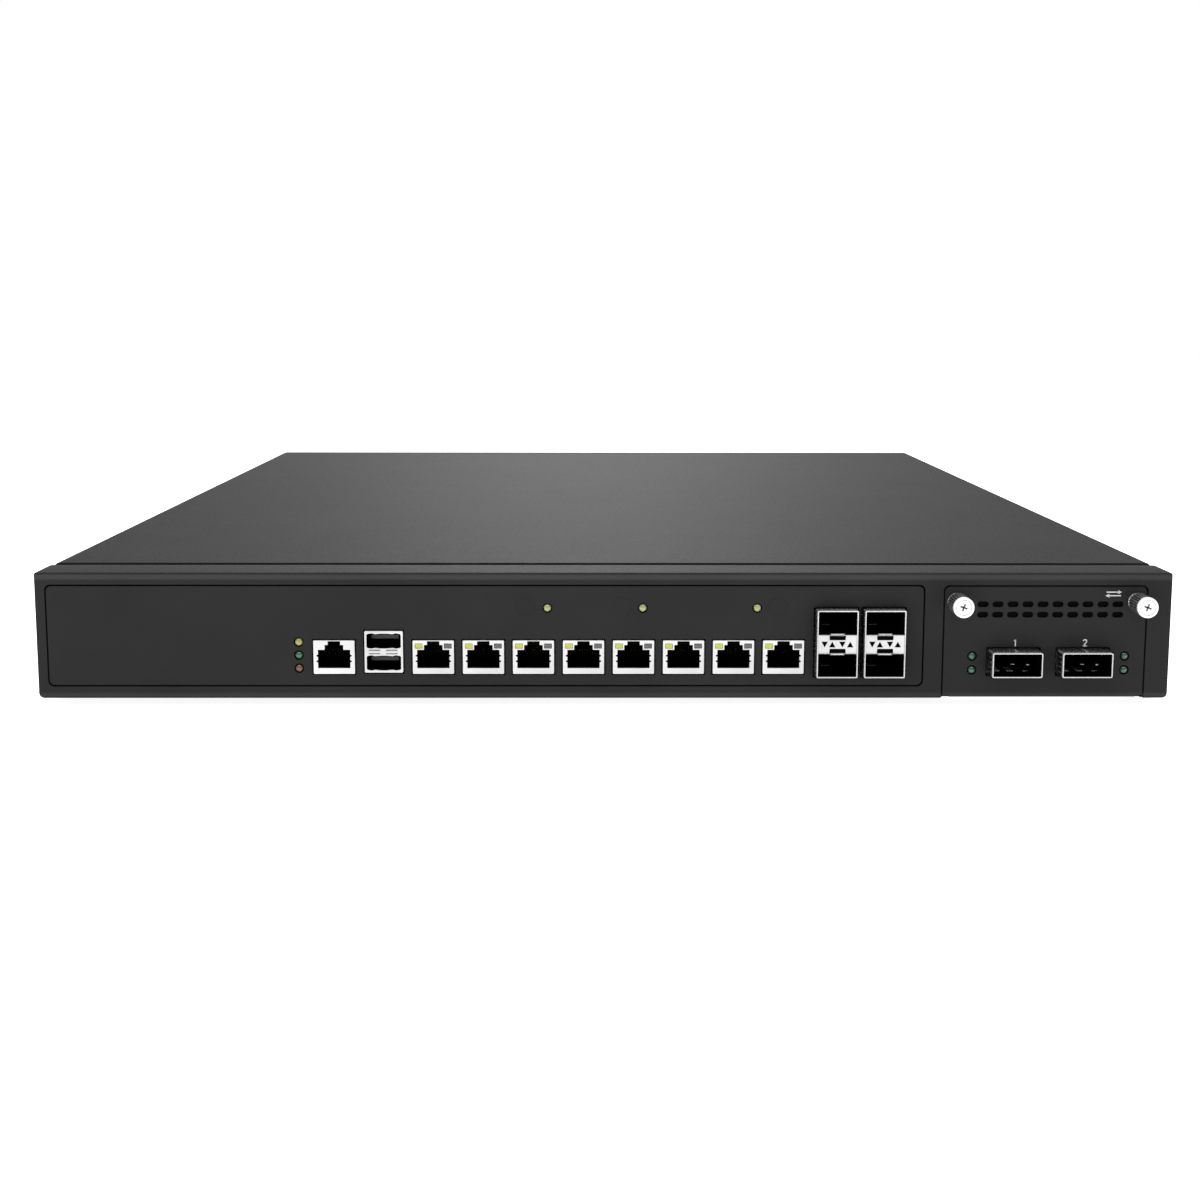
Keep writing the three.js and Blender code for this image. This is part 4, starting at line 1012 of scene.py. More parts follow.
def printed_marks():
    """The two port numbers, and a pair of arrows that stands for the port type."""
    ink = Shape()
    depth = (-0.012, 0.05)
    pen = 0.42
    x1, x2 = (middle(cad(n)[0]) + 0.6 for n in ("qsfp_cage_1", "qsfp_cage_2"))
    low = 20.6
    for line in ([(x1, low), (x1, low + 2.8)], [(x1 + 0.1, low + 2.66), (x1 - 0.55, low + 2.15)]):
        ink.plate([stroke(line, pen)], depth)
    two = arc(x2, low + 2.0, 0.66, 165, -35, 10) + [(x2 - 0.62, low + 0.22)]
    ink.plate([stroke(two, pen)], depth)
    ink.plate([stroke([(x2 - 0.8, low + 0.2), (x2 + 0.85, low + 0.2)], pen)], depth)
    for tip, tail, z in ((200.6, 194.6, 42.0), (194.2, 200.2, 40.6)):
        way = 1 if tip > tail else -1
        ink.plate([stroke([(tail, z), (tip - way * 1.1, z)], 0.4)], depth)
        ink.plate([[(tip - way * 1.5, z - 0.7), (tip - way * 1.5, z + 0.7), (tip, z)][::way]], depth)
    make("printed_marks", ink, INK, body=MODULE)


def quad_cages():
    pieces = {}
    x, y, z = cad("qsfp_cage_1")
    x0 = middle(x)
    wall = 0.42
    outer = rect(x, z, 0.6, 4)
    port = rect(grown(x, -wall), grown(z, -wall), 0.35, 3)
    seam = rect(about(x0, 0.5), (z[1] - 0.2, z[1] - 0.05))
    shell = Shape().plate([outer, port], (y[0], y[0] + 0.6), bevel=0.1)
    shell.plate([outer, rect(grown(x, -0.35), grown(z, -0.35), 0.4, 4)], (y[0] + 0.5, y[1]))
    shell.box(grown(x, -0.3), (y[1] - 0.4, y[1]), grown(z, -0.3))
    shell.plate([seam], (y[0] - 0.05, y[0] + 3))
    pieces["shell"] = make("qsfp_cage_1_shell", shell, TIN, replaces="qsfp_cage_1")
    # A near-black lining paints the inside of the port in shade.
    liner = Shape().plate([rect(grown(x, -0.38), grown(z, -0.38)), port], (y[0] + 0.65, y[1] - 5))
    liner.box(grown(x, -0.45), (y[1] - 5.2, y[1] - 4.8), grown(z, -0.45))
    pieces["liner"] = make("qsfp_cage_1_liner", liner, SHADE_BLACK, body=MODULE)
    leaves = Shape()
    for dx in (-6.4, -1.2, 4.8):
        leaves.box(about(x0 + dx, 2.4), (y[0] + 8, y[0] + 16), (z[0] + 1.1, z[0] + 1.35), 0.05)
    leaves.box(about(x0 - 0.4, 1.6), (y[0] + 7, y[0] + 10), about(middle(z) - 0.8, 0.25), 0.05)
    leaves.box(about(x0 + 6.2, 1.4), (y[0] + 9, y[0] + 15), about(middle(z) - 1.4, 0.6), 0.05)
    leaves.box(about(x0, 13), (y[0] + 26, y[0] + 34), about(middle(z), 1.2), 0.1)
    pieces["leaves"] = make("qsfp_cage_1_leaves", leaves, SPRING, body=MODULE)
    # The side fingers take the darkened spring steel and the upper fingers the plain one: painted shade on
    # the sides, lit on top.
    fingers = spring_fingers(x, z, (-6.9, 0.2), 0.62, 1.9, "sides")
    pieces["fingers"] = make("qsfp_cage_1_fingers", fingers, SHADED_SPRING, body=MODULE)
    upper = spring_fingers((x[0], x0 - 0.4), z, (-6.9, 0.2), 0.66, 2.2, "top")
    upper.add(spring_fingers((x0 + 0.6, x[1] - 0.6), z, (-6.9, 0.2), 0.66, 2.2, "top"))
    pieces["upper_fingers"] = make("qsfp_cage_1_upper_fingers", upper, SPRING, body=MODULE)
    twins(pieces, "qsfp_cage_1", "qsfp_cage_2")


def module_lamps():
    for side in ("left", "right"):
        name = "module_led_" + side
        x, y, z = cad(name)
        domes = Shape()
        for height in module_lamps_z:
            lamp_dome(domes, middle(x), height, 5.2)
        make(name + "_domes", domes, LAMP_GREEN, replaces=name)
        make(name + "_holder", Shape().box(x, (4.7, y[1]), z, 0.3), BLACK, body=MODULE)


def thumbscrews():
    """Captive screws: a knurled head with a turned, cross-slotted face, its clip and its ferrule."""
    x0, _, z0 = SCREWS["left"]
    front, back = cad("thumbscrew_left")[1]
    head = -1.2 - CLEAR
    radius, teeth = 4.0, 24
    grip = [(0, front + 1.6), (3.55, front + 1.6), (radius, front + 2.0), (radius, head - 0.7)]
    grip += [(3.6, head - 0.3), (0, head - 0.3)]
    knurl = Shape().turned(grip, (x0, 0, z0), sides=teeth * 4, ripple=lambda i: 1 if i % 4 < 2 else 0.84)
    face = [(0, 0.55), (1.9, 0.55), (2.1, 0.3), (2.5, 0.3), (2.6, 0.06), (2.75, 0.06), (2.85, 0.4)]
    face += [(3.0, 0.4), (3.08, 0), (3.6, 0), (3.85, 0.12), (3.97, 0.4), (3.97, 1.5), (3.6, 1.75), (0, 1.75)]
    cap = Shape().turned([(r, front + y) for r, y in face], (x0, 0, z0), sides=64)
    for turn in (20, 110):
        spin = Matrix.Translation((x0, 0, z0)) @ Matrix.Rotation(math.radians(turn), 4, "Y")
        cap.boolean(Shape().box(about(0, 3.0), (front - 1, front + 1.5), about(0, 0.75), matrix=spin))
    shank = [(0, head - 0.4), (2.4, head - 0.4), (2.2, head), (1.5, head), (1.5, 7)]
    for i in range(12):
        shank += [(1.5, 7.4 + 0.35 * i), (1.28, 7.55 + 0.35 * i)]
    shank += [(1.0, back - 0.05), (0.9, back), (0, back)]
    knurl.turned(shank, (x0, 0, z0), sides=28)
    # The knurled grip takes a darkened copy of nickel: painted shade.
    screw = make("thumbscrew_left_knob", knurl, SHADED_KNURL_NICKEL, replaces="thumbscrew_left")
    # Painted shade: a dark core showing between the knurl's teeth, dark rings in the face's grooves and dark
    # fills in the cross slots.
    lines = Shape().rod(3.72, (front + 1.9, head - 0.8), (x0, 0, z0), sides=48)
    for radius_in, depth in ((2.86, 0.385), (1.95, 0.5)):
        groove = rect((radius_in, radius_in + 0.13), (front + depth, front + 0.7))
        lines.turned([*groove, groove[0]], (x0, 0, z0), sides=48)
    for turn in (20, 110):
        spin = Matrix.Translation((x0, 0, z0)) @ Matrix.Rotation(math.radians(turn), 4, "Y")
        lines.box(about(0, 2.98), (front + 1.2, front + 1.45), about(0, 0.73), matrix=spin)
    dark = make("thumbscrew_left_recess_painted_shade", lines, SHADED_SPRING, body="knob_left")
    # The face takes a brightened copy of nickel: painted highlight.
    face_plate = make("thumbscrew_left_face", cap, LIT_NICKEL_FACE, body="knob_left")
    collar = [(1.8, -1.2), (3.2, -1.2), (3.5, -1.0), (3.5, -CLEAR), (2.9, -CLEAR), (2.9, 2.3), (1.8, 2.3)]
    sleeve = Shape().turned([*collar, collar[0]], (x0, 0, z0), sides=40)
    ferrule = make("screw_ferrule_left_collar", sleeve, NICKEL, replaces="screw_ferrule_left")
    low, high = cad("retaining_ring_left")[1]
    washer = [(1.7, low), (2.6, low), (2.6, high), (1.7, high), (1.7, low)]
    clip = Shape().turned(washer, (x0, 0, z0))
    clip.boolean(Shape().box(about(x0, 1.6), (low - 1, high + 1), (z0 - 4, z0 - 0.5)))
    ring = make("retaining_ring_left_clip", clip, SPRING, replaces="retaining_ring_left")
    dx = SCREWS["right"][0] - x0
    for piece, body, name, node in (
        (screw, "knob_right", "thumbscrew_right_knob", "thumbscrew_right"),
        (face_plate, "knob_right", "thumbscrew_right_face", ()),
        (dark, "knob_right", "thumbscrew_right_recess_painted_shade", ()),
        (ferrule, MODULE, "screw_ferrule_right_collar", "screw_ferrule_right"),
        (ring, "screw_carrier_right", "retaining_ring_right_clip", "retaining_ring_right"),
    ):
        again(piece, name, (dx, 0, 0), node, body)


def chip(board, x, y, size, height, top, pins=0):
    """A packaged chip with a dimple for pin one, and gull-wing pins down two of its sides."""
    body = Shape().box(about(x, size[0]), about(y, size[1]), (top + 0.15, top + height), 0.12)
    corner = (x - size[0] / 2 + 1.4, y + size[1] / 2 - 1.4, 0)
    body.boolean(Shape().rod(0.5, (top + height - 0.12, top + height + 1), corner, "z", 12))
    board["chips"].add(body)
    for i in range(pins):
        px = x + (size[0] - 1.6) * (i / (pins - 1) - 0.5)
        for side in (-1, 1):
            edge = y + side * size[1] / 2
            leg = [(edge - side * 0.2, top + height * 0.5), (edge + side * 0.5, top + height * 0.5)]
            leg += [(edge + side * 0.7, top + 0.1), (edge + side * 1.3, top + 0.1)]
            board["solder"].plate([stroke(leg, 0.15)], about(px, 0.4), "x")


def can_capacitor(board, x, y, radius, height, top):
    board["chips"].box(about(x, radius * 2.05), about(y, radius * 2.05), (top, top + 0.6), 0.1)
    profile = [(0, 0.5), (radius * 0.94, 0.5), (radius, 0.8), (radius, 1.4), (radius * 0.93, 1.7)]
    profile += [(radius, 2.0), (radius, height - 0.3), (radius - 0.3, height), (0, height)]
    board["cans"].turned(profile, (x, y, top), "z", 24)


def power_inductor(board, x, y, size, height, top):
    board["chips"].box(about(x, size), about(y, size), (top + 0.2, top + height), 0.5)
    for side in (-1, 1):
        end = about(x + side * (size / 2 - 0.2), 0.9)
        board["solder"].box(end, about(y, size * 0.55), (top, top + 1.4), 0.1)


def small_parts(board, xs, ys, top, pitch=(2.6, 2.2), size=(1.4, 0.8, 0.6)):
    """A field of small resistors and capacitors with soldered ends, a few left unplaced."""
    columns, rows = (int((span[1] - span[0]) / step) for span, step in zip((xs, ys), pitch))
    for i in range(columns):
        for j in range(rows):
            if (i * 7 + j * 5) % 4 == 0:
                continue
            x, y = xs[0] + pitch[0] * (i + 0.5), ys[0] + pitch[1] * (j + 0.5)
            board["chips"].box(about(x, size[0] * 0.6), about(y, size[1]), (top, top + size[2]))
            for side in (-1, 1):
                end = about(x + side * size[0] * 0.4, size[0] * 0.24)
                board["solder"].box(end, about(y, size[1]), (top, top + size[2] * 1.04))


def new_board():
    return {"chips": Shape(), "solder": Shape(), "cans": Shape(), "ivory": Shape()}


def finish_board(name, board, body):
    for key, material in (("chips", CHIP), ("solder", TIN), ("cans", ALUMINIUM), ("ivory", IVORY)):
        if board[key].bm.verts:
            make(f"{name}_{key}", board[key], material, body=body)


def module_board():
    x, y, z = cad("module_board")
    socket_x = cad("bay_socket")[0]
    top = z[0] + 1.6
    neck = grown(socket_x, -2.4)
    shoulder = y[1] - 10
    outline = [(x[0], y[0]), (x[1], y[0]), (x[1], shoulder), (neck[1], shoulder), (neck[1], y[1] - 1)]
    outline += [(neck[1] - 1, y[1]), (neck[0] + 1, y[1]), (neck[0], y[1] - 1)]
    outline += [(neck[0], shoulder), (x[0], shoulder)]
    holes = [circle(hx, hy, 1.6, 16) for hx in (x[0] + 5, x[1] - 5) for hy in (60, 205)]
    plate = Shape().plate([outline, *holes], (z[0], top), "z", bevel=0.08)
    make("module_board_laminate", plate, BOARD, replaces="module_board")
    fingers = Shape()
    count = 36
    for i in range(count):
        fx = neck[0] + 1.6 + (neck[1] - neck[0] - 3.2) * i / (count - 1)
        if i in (12, 13):
            continue
        for level in (z[0] - 0.03, top - 0.02):
            fingers.box(about(fx, 0.8), (shoulder + 1, y[1] - 0.6), (level, level + 0.05))
    make("module_board_fingers", fingers, GOLD, body=MODULE)
    parts = new_board()
    chip(parts, 172, 110, (25, 25), 2.2, top)
    chip(parts, 190, 178, (12, 12), 2.2, top, 14)
    chip(parts, 146, 160, (7, 9), 1.4, top, 8)
    for px in (155, 170):
        power_inductor(parts, px, 180, 8, 3.7, top)
    for i in range(4):
        can_capacitor(parts, 150 + 9 * i, 194, 3, 6, top)
    for ys in ((50, 78), (142, 172)):
        small_parts(parts, (x[0] + 8, x[0] + 24) if ys[0] > 100 else (150, 196), ys, top)
    small_parts(parts, (188, 204), (90, 140), top)
    finish_board("module_board", parts, MODULE)


def finned(x, y, z, base, fins, thickness, bites=()):
    """A finned block with rounded fin tops, and corner bites where its screws stand."""
    sink = Shape()
    sink.box(x, y, (z[0], z[0] + base), 0.15)
    pitch = (x[1] - x[0] - thickness) / (fins - 1)
    for i in range(fins):
        left = x[0] + pitch * i
        fin = rect((left, left + thickness), (z[0] + base - 0.2, z[1]), thickness * 0.3, 2, corners="top")
        sink.plate([fin], y)
    if bites:
        cuts = Shape()
        for bx, by in bites:
            cuts.box(about(bx, 9), about(by, 9), (z[0] + base, z[1] + 1))
        sink.boolean(cuts)
    return sink


def sprung_screw(shape, x, y, low, high):
    neck = high - 1.8
    screw = [(0, low), (1.3, low), (1.3, neck), (3, neck), (3, high - 0.6), (2.4, high), (0, high)]
    shape.turned(screw, (x, y, 0), "z", 20)
    turns, per_turn, radius = 5, 14, 2.2
    rise = (high - low - 2.6) / (turns * per_turn)
    coil = []
    for i in range(turns * per_turn + 1):
        angle = math.tau * i / per_turn
        coil.append((x + radius * math.cos(angle), y + radius * math.sin(angle), low + 0.3 + rise * i))
    shape.tube(coil, 0.32, 6)


def heat_sinks():
    for node, base, fins, thickness, body in (
        ("cpu_heatsink", 4, 20, 1.4, "chassis"), ("module_heatsink", 3, 12, 1.2, MODULE),
    ):
        x, y, z = cad(node)
        places = [(px, py) for px in grown(x, -5) for py in grown(y, -5)]
        make(node + "_fins", finned(x, y, z, base, fins, thickness, places), ALUMINIUM, replaces=node)
        screws = Shape()
        for px, py in places:
            sprung_screw(screws, px, py, z[0] + base - 0.2, z[0] + base + 8)
        make(node + "_screws", screws, NICKEL, body=body)


def module_bay():
    x, y, _ = cad("module_bay")
    low = cad("module_bay")[2][0]
    channel = bent_channel(x, low, 26, SHEET, 1.4, 0.4)
    bay = Shape().plate([channel], y, bevel=0.1)
    board_z = cad("module_board")[2][0]
    rails_z = ((low + SHEET - 0.3, board_z - CLEAR), (board_z + 1.6 + CLEAR, board_z + 3.9))
    cuts = Shape()
    for i in range(9):
        cuts.plate([slot(middle(x), 40 + 19 * i, 34, 6)], (low - 1, low + 2), "z")
        cuts.plate([slot(40 + 19 * i, 20, 10, 4)], grown(x, 1), "x")
    bay.boolean(cuts)
    make("module_bay_sheet", bay, ZINC, replaces="module_bay")
    rails = Shape()
    for side in ((x[0] + 0.7, x[0] + 4.5), (x[1] - 4.5, x[1] - 0.7)):
        for z in rails_z:
            rails.box(side, (27, y[1]), z, 0.3)
    make("module_bay_rails", rails, BLACK)


def bay_socket():
    x, y, z = cad("bay_socket")
    card_z = cad("module_board")[2][0]
    shell = Shape().plate([rect((y[0], y[1]), (card_z + 1.7, z[1]), 0.6, 3)], x, "x")
    shell.boolean(Shape().box(grown(x, 1), (y[0] - 1, 235.7), (z[0] - 5, card_z + 1.8)))
    shell.box(x, (y[0], 235.7), (card_z - 1.8, card_z + 3), 0.2)
    mouth = Shape().box(grown(x, -2), (y[0] - 1, 228), (card_z - 0.4, card_z + 2.0))
    shell.boolean(mouth)
    for i in range(24):
        shell.box(about(x[0] + 3 + 1.9 * i, 0.9), (y[0] + 2, y[1] - 3), (z[1] - 0.2, z[1] + 0.25), 0.08)
    make("bay_socket_body", shell, IVORY, replaces="bay_socket")


module_faceplate()
printed_marks()
quad_cages()
module_lamps()
thumbscrews()
module_board()
heat_sinks()
module_bay()
bay_socket()

# ---------------------------------------------------------------- electronics in the tray

board_x, board_y, _ = cad("mainboard")
BOARD_LOW = cad("mainboard")[2][0]
BOARD_TOP = BOARD_LOW + 1.6
TONGUE_Y = 236
BATTERY = (-185, 235)
POWER_PLUG = ((58, 110), (291, 301))


def memory_socket(parts, x, y, top):
    """A low socket behind a memory module, with a latch at each end."""
    parts["ivory"].box(x, y, (top, top + 5.1), 0.3)
    for side, way in ((x[0], -1), (x[1], 1)):
        parts["ivory"].box((side - 1.2, side + 1.2), (y[0] - 14, y[0] + 1), (top, top + 4.2), 0.3)
        parts["solder"].box(about(side - way * 0.4, 0.5), (y[0] - 13.5, y[0] - 9), (top + 4, top + 6.4), 0.1)


def pin_header(parts, x, y, columns, rows, top, tall=6.0):
    pitch = 2.54
    for i in range(columns):
        for j in range(rows):
            px, py = x + pitch * (i - (columns - 1) / 2), y + pitch * (j - (rows - 1) / 2)
            parts["chips"].box(about(px, 2.4), about(py, 2.4), (top, top + 2.5), 0.25)
            parts["solder"].box(about(px, 0.64), about(py, 0.64), (top + 2, top + 2.5 + tall), 0.1)


def mainboard():
    outline = [
        (board_x[0], board_y[0]), (123, board_y[0]), (123, TONGUE_Y), (board_x[1], TONGUE_Y),
        (board_x[1], board_y[1]), (board_x[0], board_y[1]),
    ]
    holes = [circle(x, y, 1.7, 18) for x, y in BOARD_SCREWS]
    plate = Shape().plate([outline, *holes], (BOARD_LOW, BOARD_TOP), "z", bevel=0.08)
    make("mainboard_laminate", plate, BOARD, replaces="mainboard")
    parts = new_board()
    screws = Shape()
    land_top = BOARD_TOP + 0.05
    land = [(1.75, BOARD_TOP), (3.4, BOARD_TOP), (3.4, land_top), (1.75, land_top), (1.75, BOARD_TOP)]
    for x, y in BOARD_SCREWS:
        parts["solder"].turned(land, (x, y, 0), "z", 24)
        flat_screw(screws, (x, y, BOARD_TOP + 0.3), "z", 2.7, 1.2)
    make("mainboard_screws", screws, NICKEL)
    sink_x, sink_y, sink_z = cad("cpu_heatsink")
    cx, cy = middle(sink_x), middle(sink_y)
    parts["solder"].box(about(cx, 37), about(cy, 37), (BOARD_TOP, sink_z[0] - 0.6), 0.4)
    chip(parts, 70, 170, (25, 25), 2.6, BOARD_TOP)
    chip(parts, 70, 100, (25, 25), 2.6, BOARD_TOP)
    for y in (100, 170):
        parts["cans"].add(finned(about(70, 25), about(y, 25), (BOARD_TOP + 2.6, 16), 1.6, 9, 0.8))
    chip(parts, -30, 255, (20, 20), 3.2, BOARD_TOP, 20)
    chip(parts, -150, 255, (12, 8), 2.0, BOARD_TOP, 8)
    chip(parts, -150, 275, (8, 6), 1.8, BOARD_TOP, 4)
    chip(parts, 20, 255, (14, 14), 1.6, BOARD_TOP, 16)
    chip(parts, 60, 235, (10, 10), 1.4, BOARD_TOP, 10)
    for i in range(6):
        power_inductor(parts, cx + 14 * (i - 2.5), 228, 9, 5.2, BOARD_TOP)
        can_capacitor(parts, -70 + 14 * i, 275, 4, 9, BOARD_TOP)
        chip(parts, cx + 14 * (i - 2.5), 216.5, (5, 5), 1.1, BOARD_TOP, 3)
    for i in range(4):
        can_capacitor(parts, 30 + 10 * i, 130, 3.1, 7, BOARD_TOP)
        chip(parts, -95, 60 + 30 * i, (12, 10), 1.3, BOARD_TOP, 12)
    for jack in JACKS:
        x = middle(cad(jack)[0])
        chip(parts, x, 42, (13, 9), 3.4, BOARD_TOP, 8)
        small_parts(parts, (x - 7, x + 7), (52, 61), BOARD_TOP)
    memory_x = cad("memory_module_1")[0]
    for n in (1, 2):
        edge = cad(f"memory_module_{n}")[1][1]
        memory_socket(parts, grown(memory_x, 3), (edge - 3, edge + 5), BOARD_TOP)
    for i in range(2):
        pin_header(parts, -175 + 30 * i, 300, 5, 2, BOARD_TOP)
        pin_header(parts, 30, 296, 6, 2, BOARD_TOP)
    parts["ivory"].box(*POWER_PLUG, (BOARD_TOP, BOARD_TOP + 8), 0.4)
    parts["chips"].box(about(-137, 44), (303, 310.9), (BOARD_TOP, 14), 0.4)
    cell = [(0, 1), (10, 1), (10, 3.4), (9.4, 4), (0, 4)]
    parts["cans"].turned(cell, (*BATTERY, BOARD_TOP), "z", 48)
    parts["chips"].rod(11.4, (BOARD_TOP, BOARD_TOP + 2.2), (*BATTERY, 0), "z", 40)
    for xs, ys in (
        ((-108, -82), (180, 240)), ((22, 50), (145, 215)), ((86, 118), (60, 140)), ((-200, -120), (205, 222)),
        ((-12, 50), (282, 292)), ((90, 118), (190, 230)), ((140, 204), (262, 300)), ((-110, -82), (255, 300)),
        ((-200, -190), (55, 110)), ((30, 50), (66, 120)),
    ):
        small_parts(parts, xs, ys, BOARD_TOP)
    finish_board("mainboard", parts, "chassis")


def memory_modules():
    x, y, z = cad("memory_module_1")
    top = z[0] + 1.1
    notch = rect((x[0] + 38, x[0] + 39.5), (y[1] - 4, y[1] + 1))
    board = Shape().plate([rect(x, y)], (z[0], top), "z", bevel=0.06)
    board.boolean(Shape().plate([notch], (z[0] - 1, top + 1), "z"))
    for side in x:
        board.boolean(Shape().rod(1.8, (z[0] - 1, top + 1), (side, y[0] + 13, 0), "z", 20))
    pieces = {"laminate": make("memory_module_1_laminate", board, BOARD, replaces="memory_module_1")}
    parts = new_board()
    for i in range(4):
        chip(parts, x[0] + 10 + 15.9 * i, middle(y) - 2, (10, 13), 1.1, top)
    small_parts(parts, (x[0] + 4, x[1] - 4), (y[1] - 9, y[1] - 5), top, (2.2, 1.6), (1.0, 0.5, 0.4))
    for i in range(60):
        px = x[0] + 3 + i * (x[1] - x[0] - 6) / 59
        if abs(px - x[0] - 38.7) > 1.4:
            parts["ivory"].box(about(px, 0.55), (y[1] - 4, y[1] - 3.1), (top - 0.02, top + 0.03))
    pieces["chips"] = make("memory_module_1_chips", parts["chips"], CHIP)
    pieces["solder"] = make("memory_module_1_solder", parts["solder"], TIN)
    pieces["contacts"] = make("memory_module_1_contacts", parts["ivory"], GOLD)
    twins(pieces, "memory_module_1", "memory_module_2")


def storage():
    x, y, z = cad("storage_drive")
    case = Shape().plate([rect(x, y, 3, 6)], (z[0], z[1] - 0.7), "z", bevel=0.25)
    case.plate([rect(grown(x, -0.8), grown(y, -0.8), 2.6, 6)], (z[1] - 0.9, z[1] - 0.3), "z", bevel=0.15)
    case.plate([rect(grown(x, -5), (y[0] + 14, y[1] - 8), 1.5, 4)], (z[1] - 0.4, z[1]), "z", bevel=0.15)
    make("storage_drive_case", case, ALUMINIUM, replaces="storage_drive")
    trim = Shape().box((x[0] + 12, x[0] + 55), (y[0] - 0.01, y[0] + 2), (z[0] + 1, z[0] + 5), 0.2)
    trim.box((x[0] + 10, x[0] + 58), (y[0] - 4.2, y[0] - 0.1), (z[0] + 0.8, z[0] + 5.3), 0.3)
    make("storage_drive_connector", trim, BLACK)
    bx, by, bz = cad("drive_bracket")
    section = bent_channel(bx, bz[0], bz[1], SHEET, 1.5, 0.4, upside_down=True)
    bracket = Shape().plate([section], by, bevel=0.1)
    for foot in ((bx[0] - 9, bx[0] + 0.01), (bx[1] - 0.01, bx[1] + 9)):
        bracket.box(foot, grown(by, -10), (bz[0], bz[0] + SHEET), 0.15)
    windows = Shape()
    for i in range(3):
        windows.plate([slot(middle(bx), by[0] + 20 + 28 * i, 44, 12, 5)], (bz[1] - 2, bz[1] + 1), "z")
    bracket.boolean(windows)
    make("drive_bracket_sheet", bracket, ZINC, replaces="drive_bracket")
    screws = Shape()
    for side in (bx[0] - 5.5, bx[1] + 5.5):
        for place in (by[0] + 18, by[1] - 18):
            flat_screw(screws, (side, place, bz[0] + SHEET), "z", 2.6, 0.9)
    make("drive_bracket_screws", screws, NICKEL)


def curved(points, steps):
    """A smooth line through points, by Catmull-Rom."""
    ends = [2 * points[0] - points[1], *points, 2 * points[-1] - points[-2]]
    line = []
    for a, b, c, d in zip(ends, ends[1:], ends[2:], ends[3:]):
        for i in range(steps):
            t = i / steps
            square = 2 * a - 5 * b + 4 * c - d
            cube = 3 * b - a - 3 * c + d
            line.append(0.5 * (2 * b + (c - a) * t + square * t**2 + cube * t**3))
    return [*line, points[-1]]


def power_harness():
    """Twelve leads in a braided sleeve, from the supply's wall to a latched plug on the board."""
    plug_x, plug_y = POWER_PLUG
    plug_top = 30
    centre = middle(plug_x)
    supply = cad("psu_case")[1][0]
    stops = [(150, supply - CLEAR, 22), (149, supply - 18, 22), (132, 360, 27), (102, 325, 36)]
    stops += [(centre + 2, 301, 37), (centre, 296, plug_top - 1)]
    line = curved([Vector(p) for p in stops], 10)
    body = Shape().tube(line[2:42], 3.5, 16)
    make("power_harness_sleeve", body, SLEEVE, replaces="power_harness")
    leads = Shape()
    columns = [centre + 7.6 * (i - 2.5) for i in range(6)]
    for i, column in enumerate(columns):
        for row in (-1, 1):
            end = Vector((column, 296 + row * 2.2, plug_top - 0.5))
            start = line[40] + Vector((1.4 * math.cos(i), 1.4 * math.sin(i), row))
            rise = Vector((0, 0, 5))
            leads.tube(curved([start, (start + end) / 2 + rise * 0.6, end + rise, end], 6), 0.85, 8)
    make("power_harness_leads", leads, LEAD_YELLOW)
    plug = Shape().box(plug_x, plug_y, (BOARD_TOP + 8.3, plug_top), 0.5)
    plug.box(about(centre, 7), (plug_y[1] - 0.2, plug_y[1] + 1.6), (BOARD_TOP + 4, plug_top - 2), 0.3)
    for column in columns:
        plug.box(about(column, 0.7), (plug_y[0] - 0.15, plug_y[1] + 0.1), (BOARD_TOP + 9, plug_top - 1))
    make("power_harness_plug", plug, IVORY)
    ties = Shape()
    for i in (14, 26):
        ring = line[i + 1] - line[i]
        turn = ring.to_track_quat("Z", "Y").to_matrix().to_4x4()
        section = rect((3.45, 4.0), (-1.2, 1.2))
        band = Shape().turned([*section, section[0]], axis="z", sides=24)
        band.box((3.6, 6.2), (-1.9, 1.9), (-1.6, 1.6), 0.3)
        ties.add(band, Matrix.Translation(line[i]) @ turn)
    grommet = [(3.6, -0.1), (6.4, -0.1), (6.4, 0.9), (4.6, 1.4), (3.6, 1.4)]
    ties.turned(grommet, (150, supply - 1.5, 22), "y", 28)
    make("power_harness_ties", ties, BLACK)


# ---------------------------------------------------------------- fans, supply and rear connectors

FAN_D = 28
BORE = 18.7


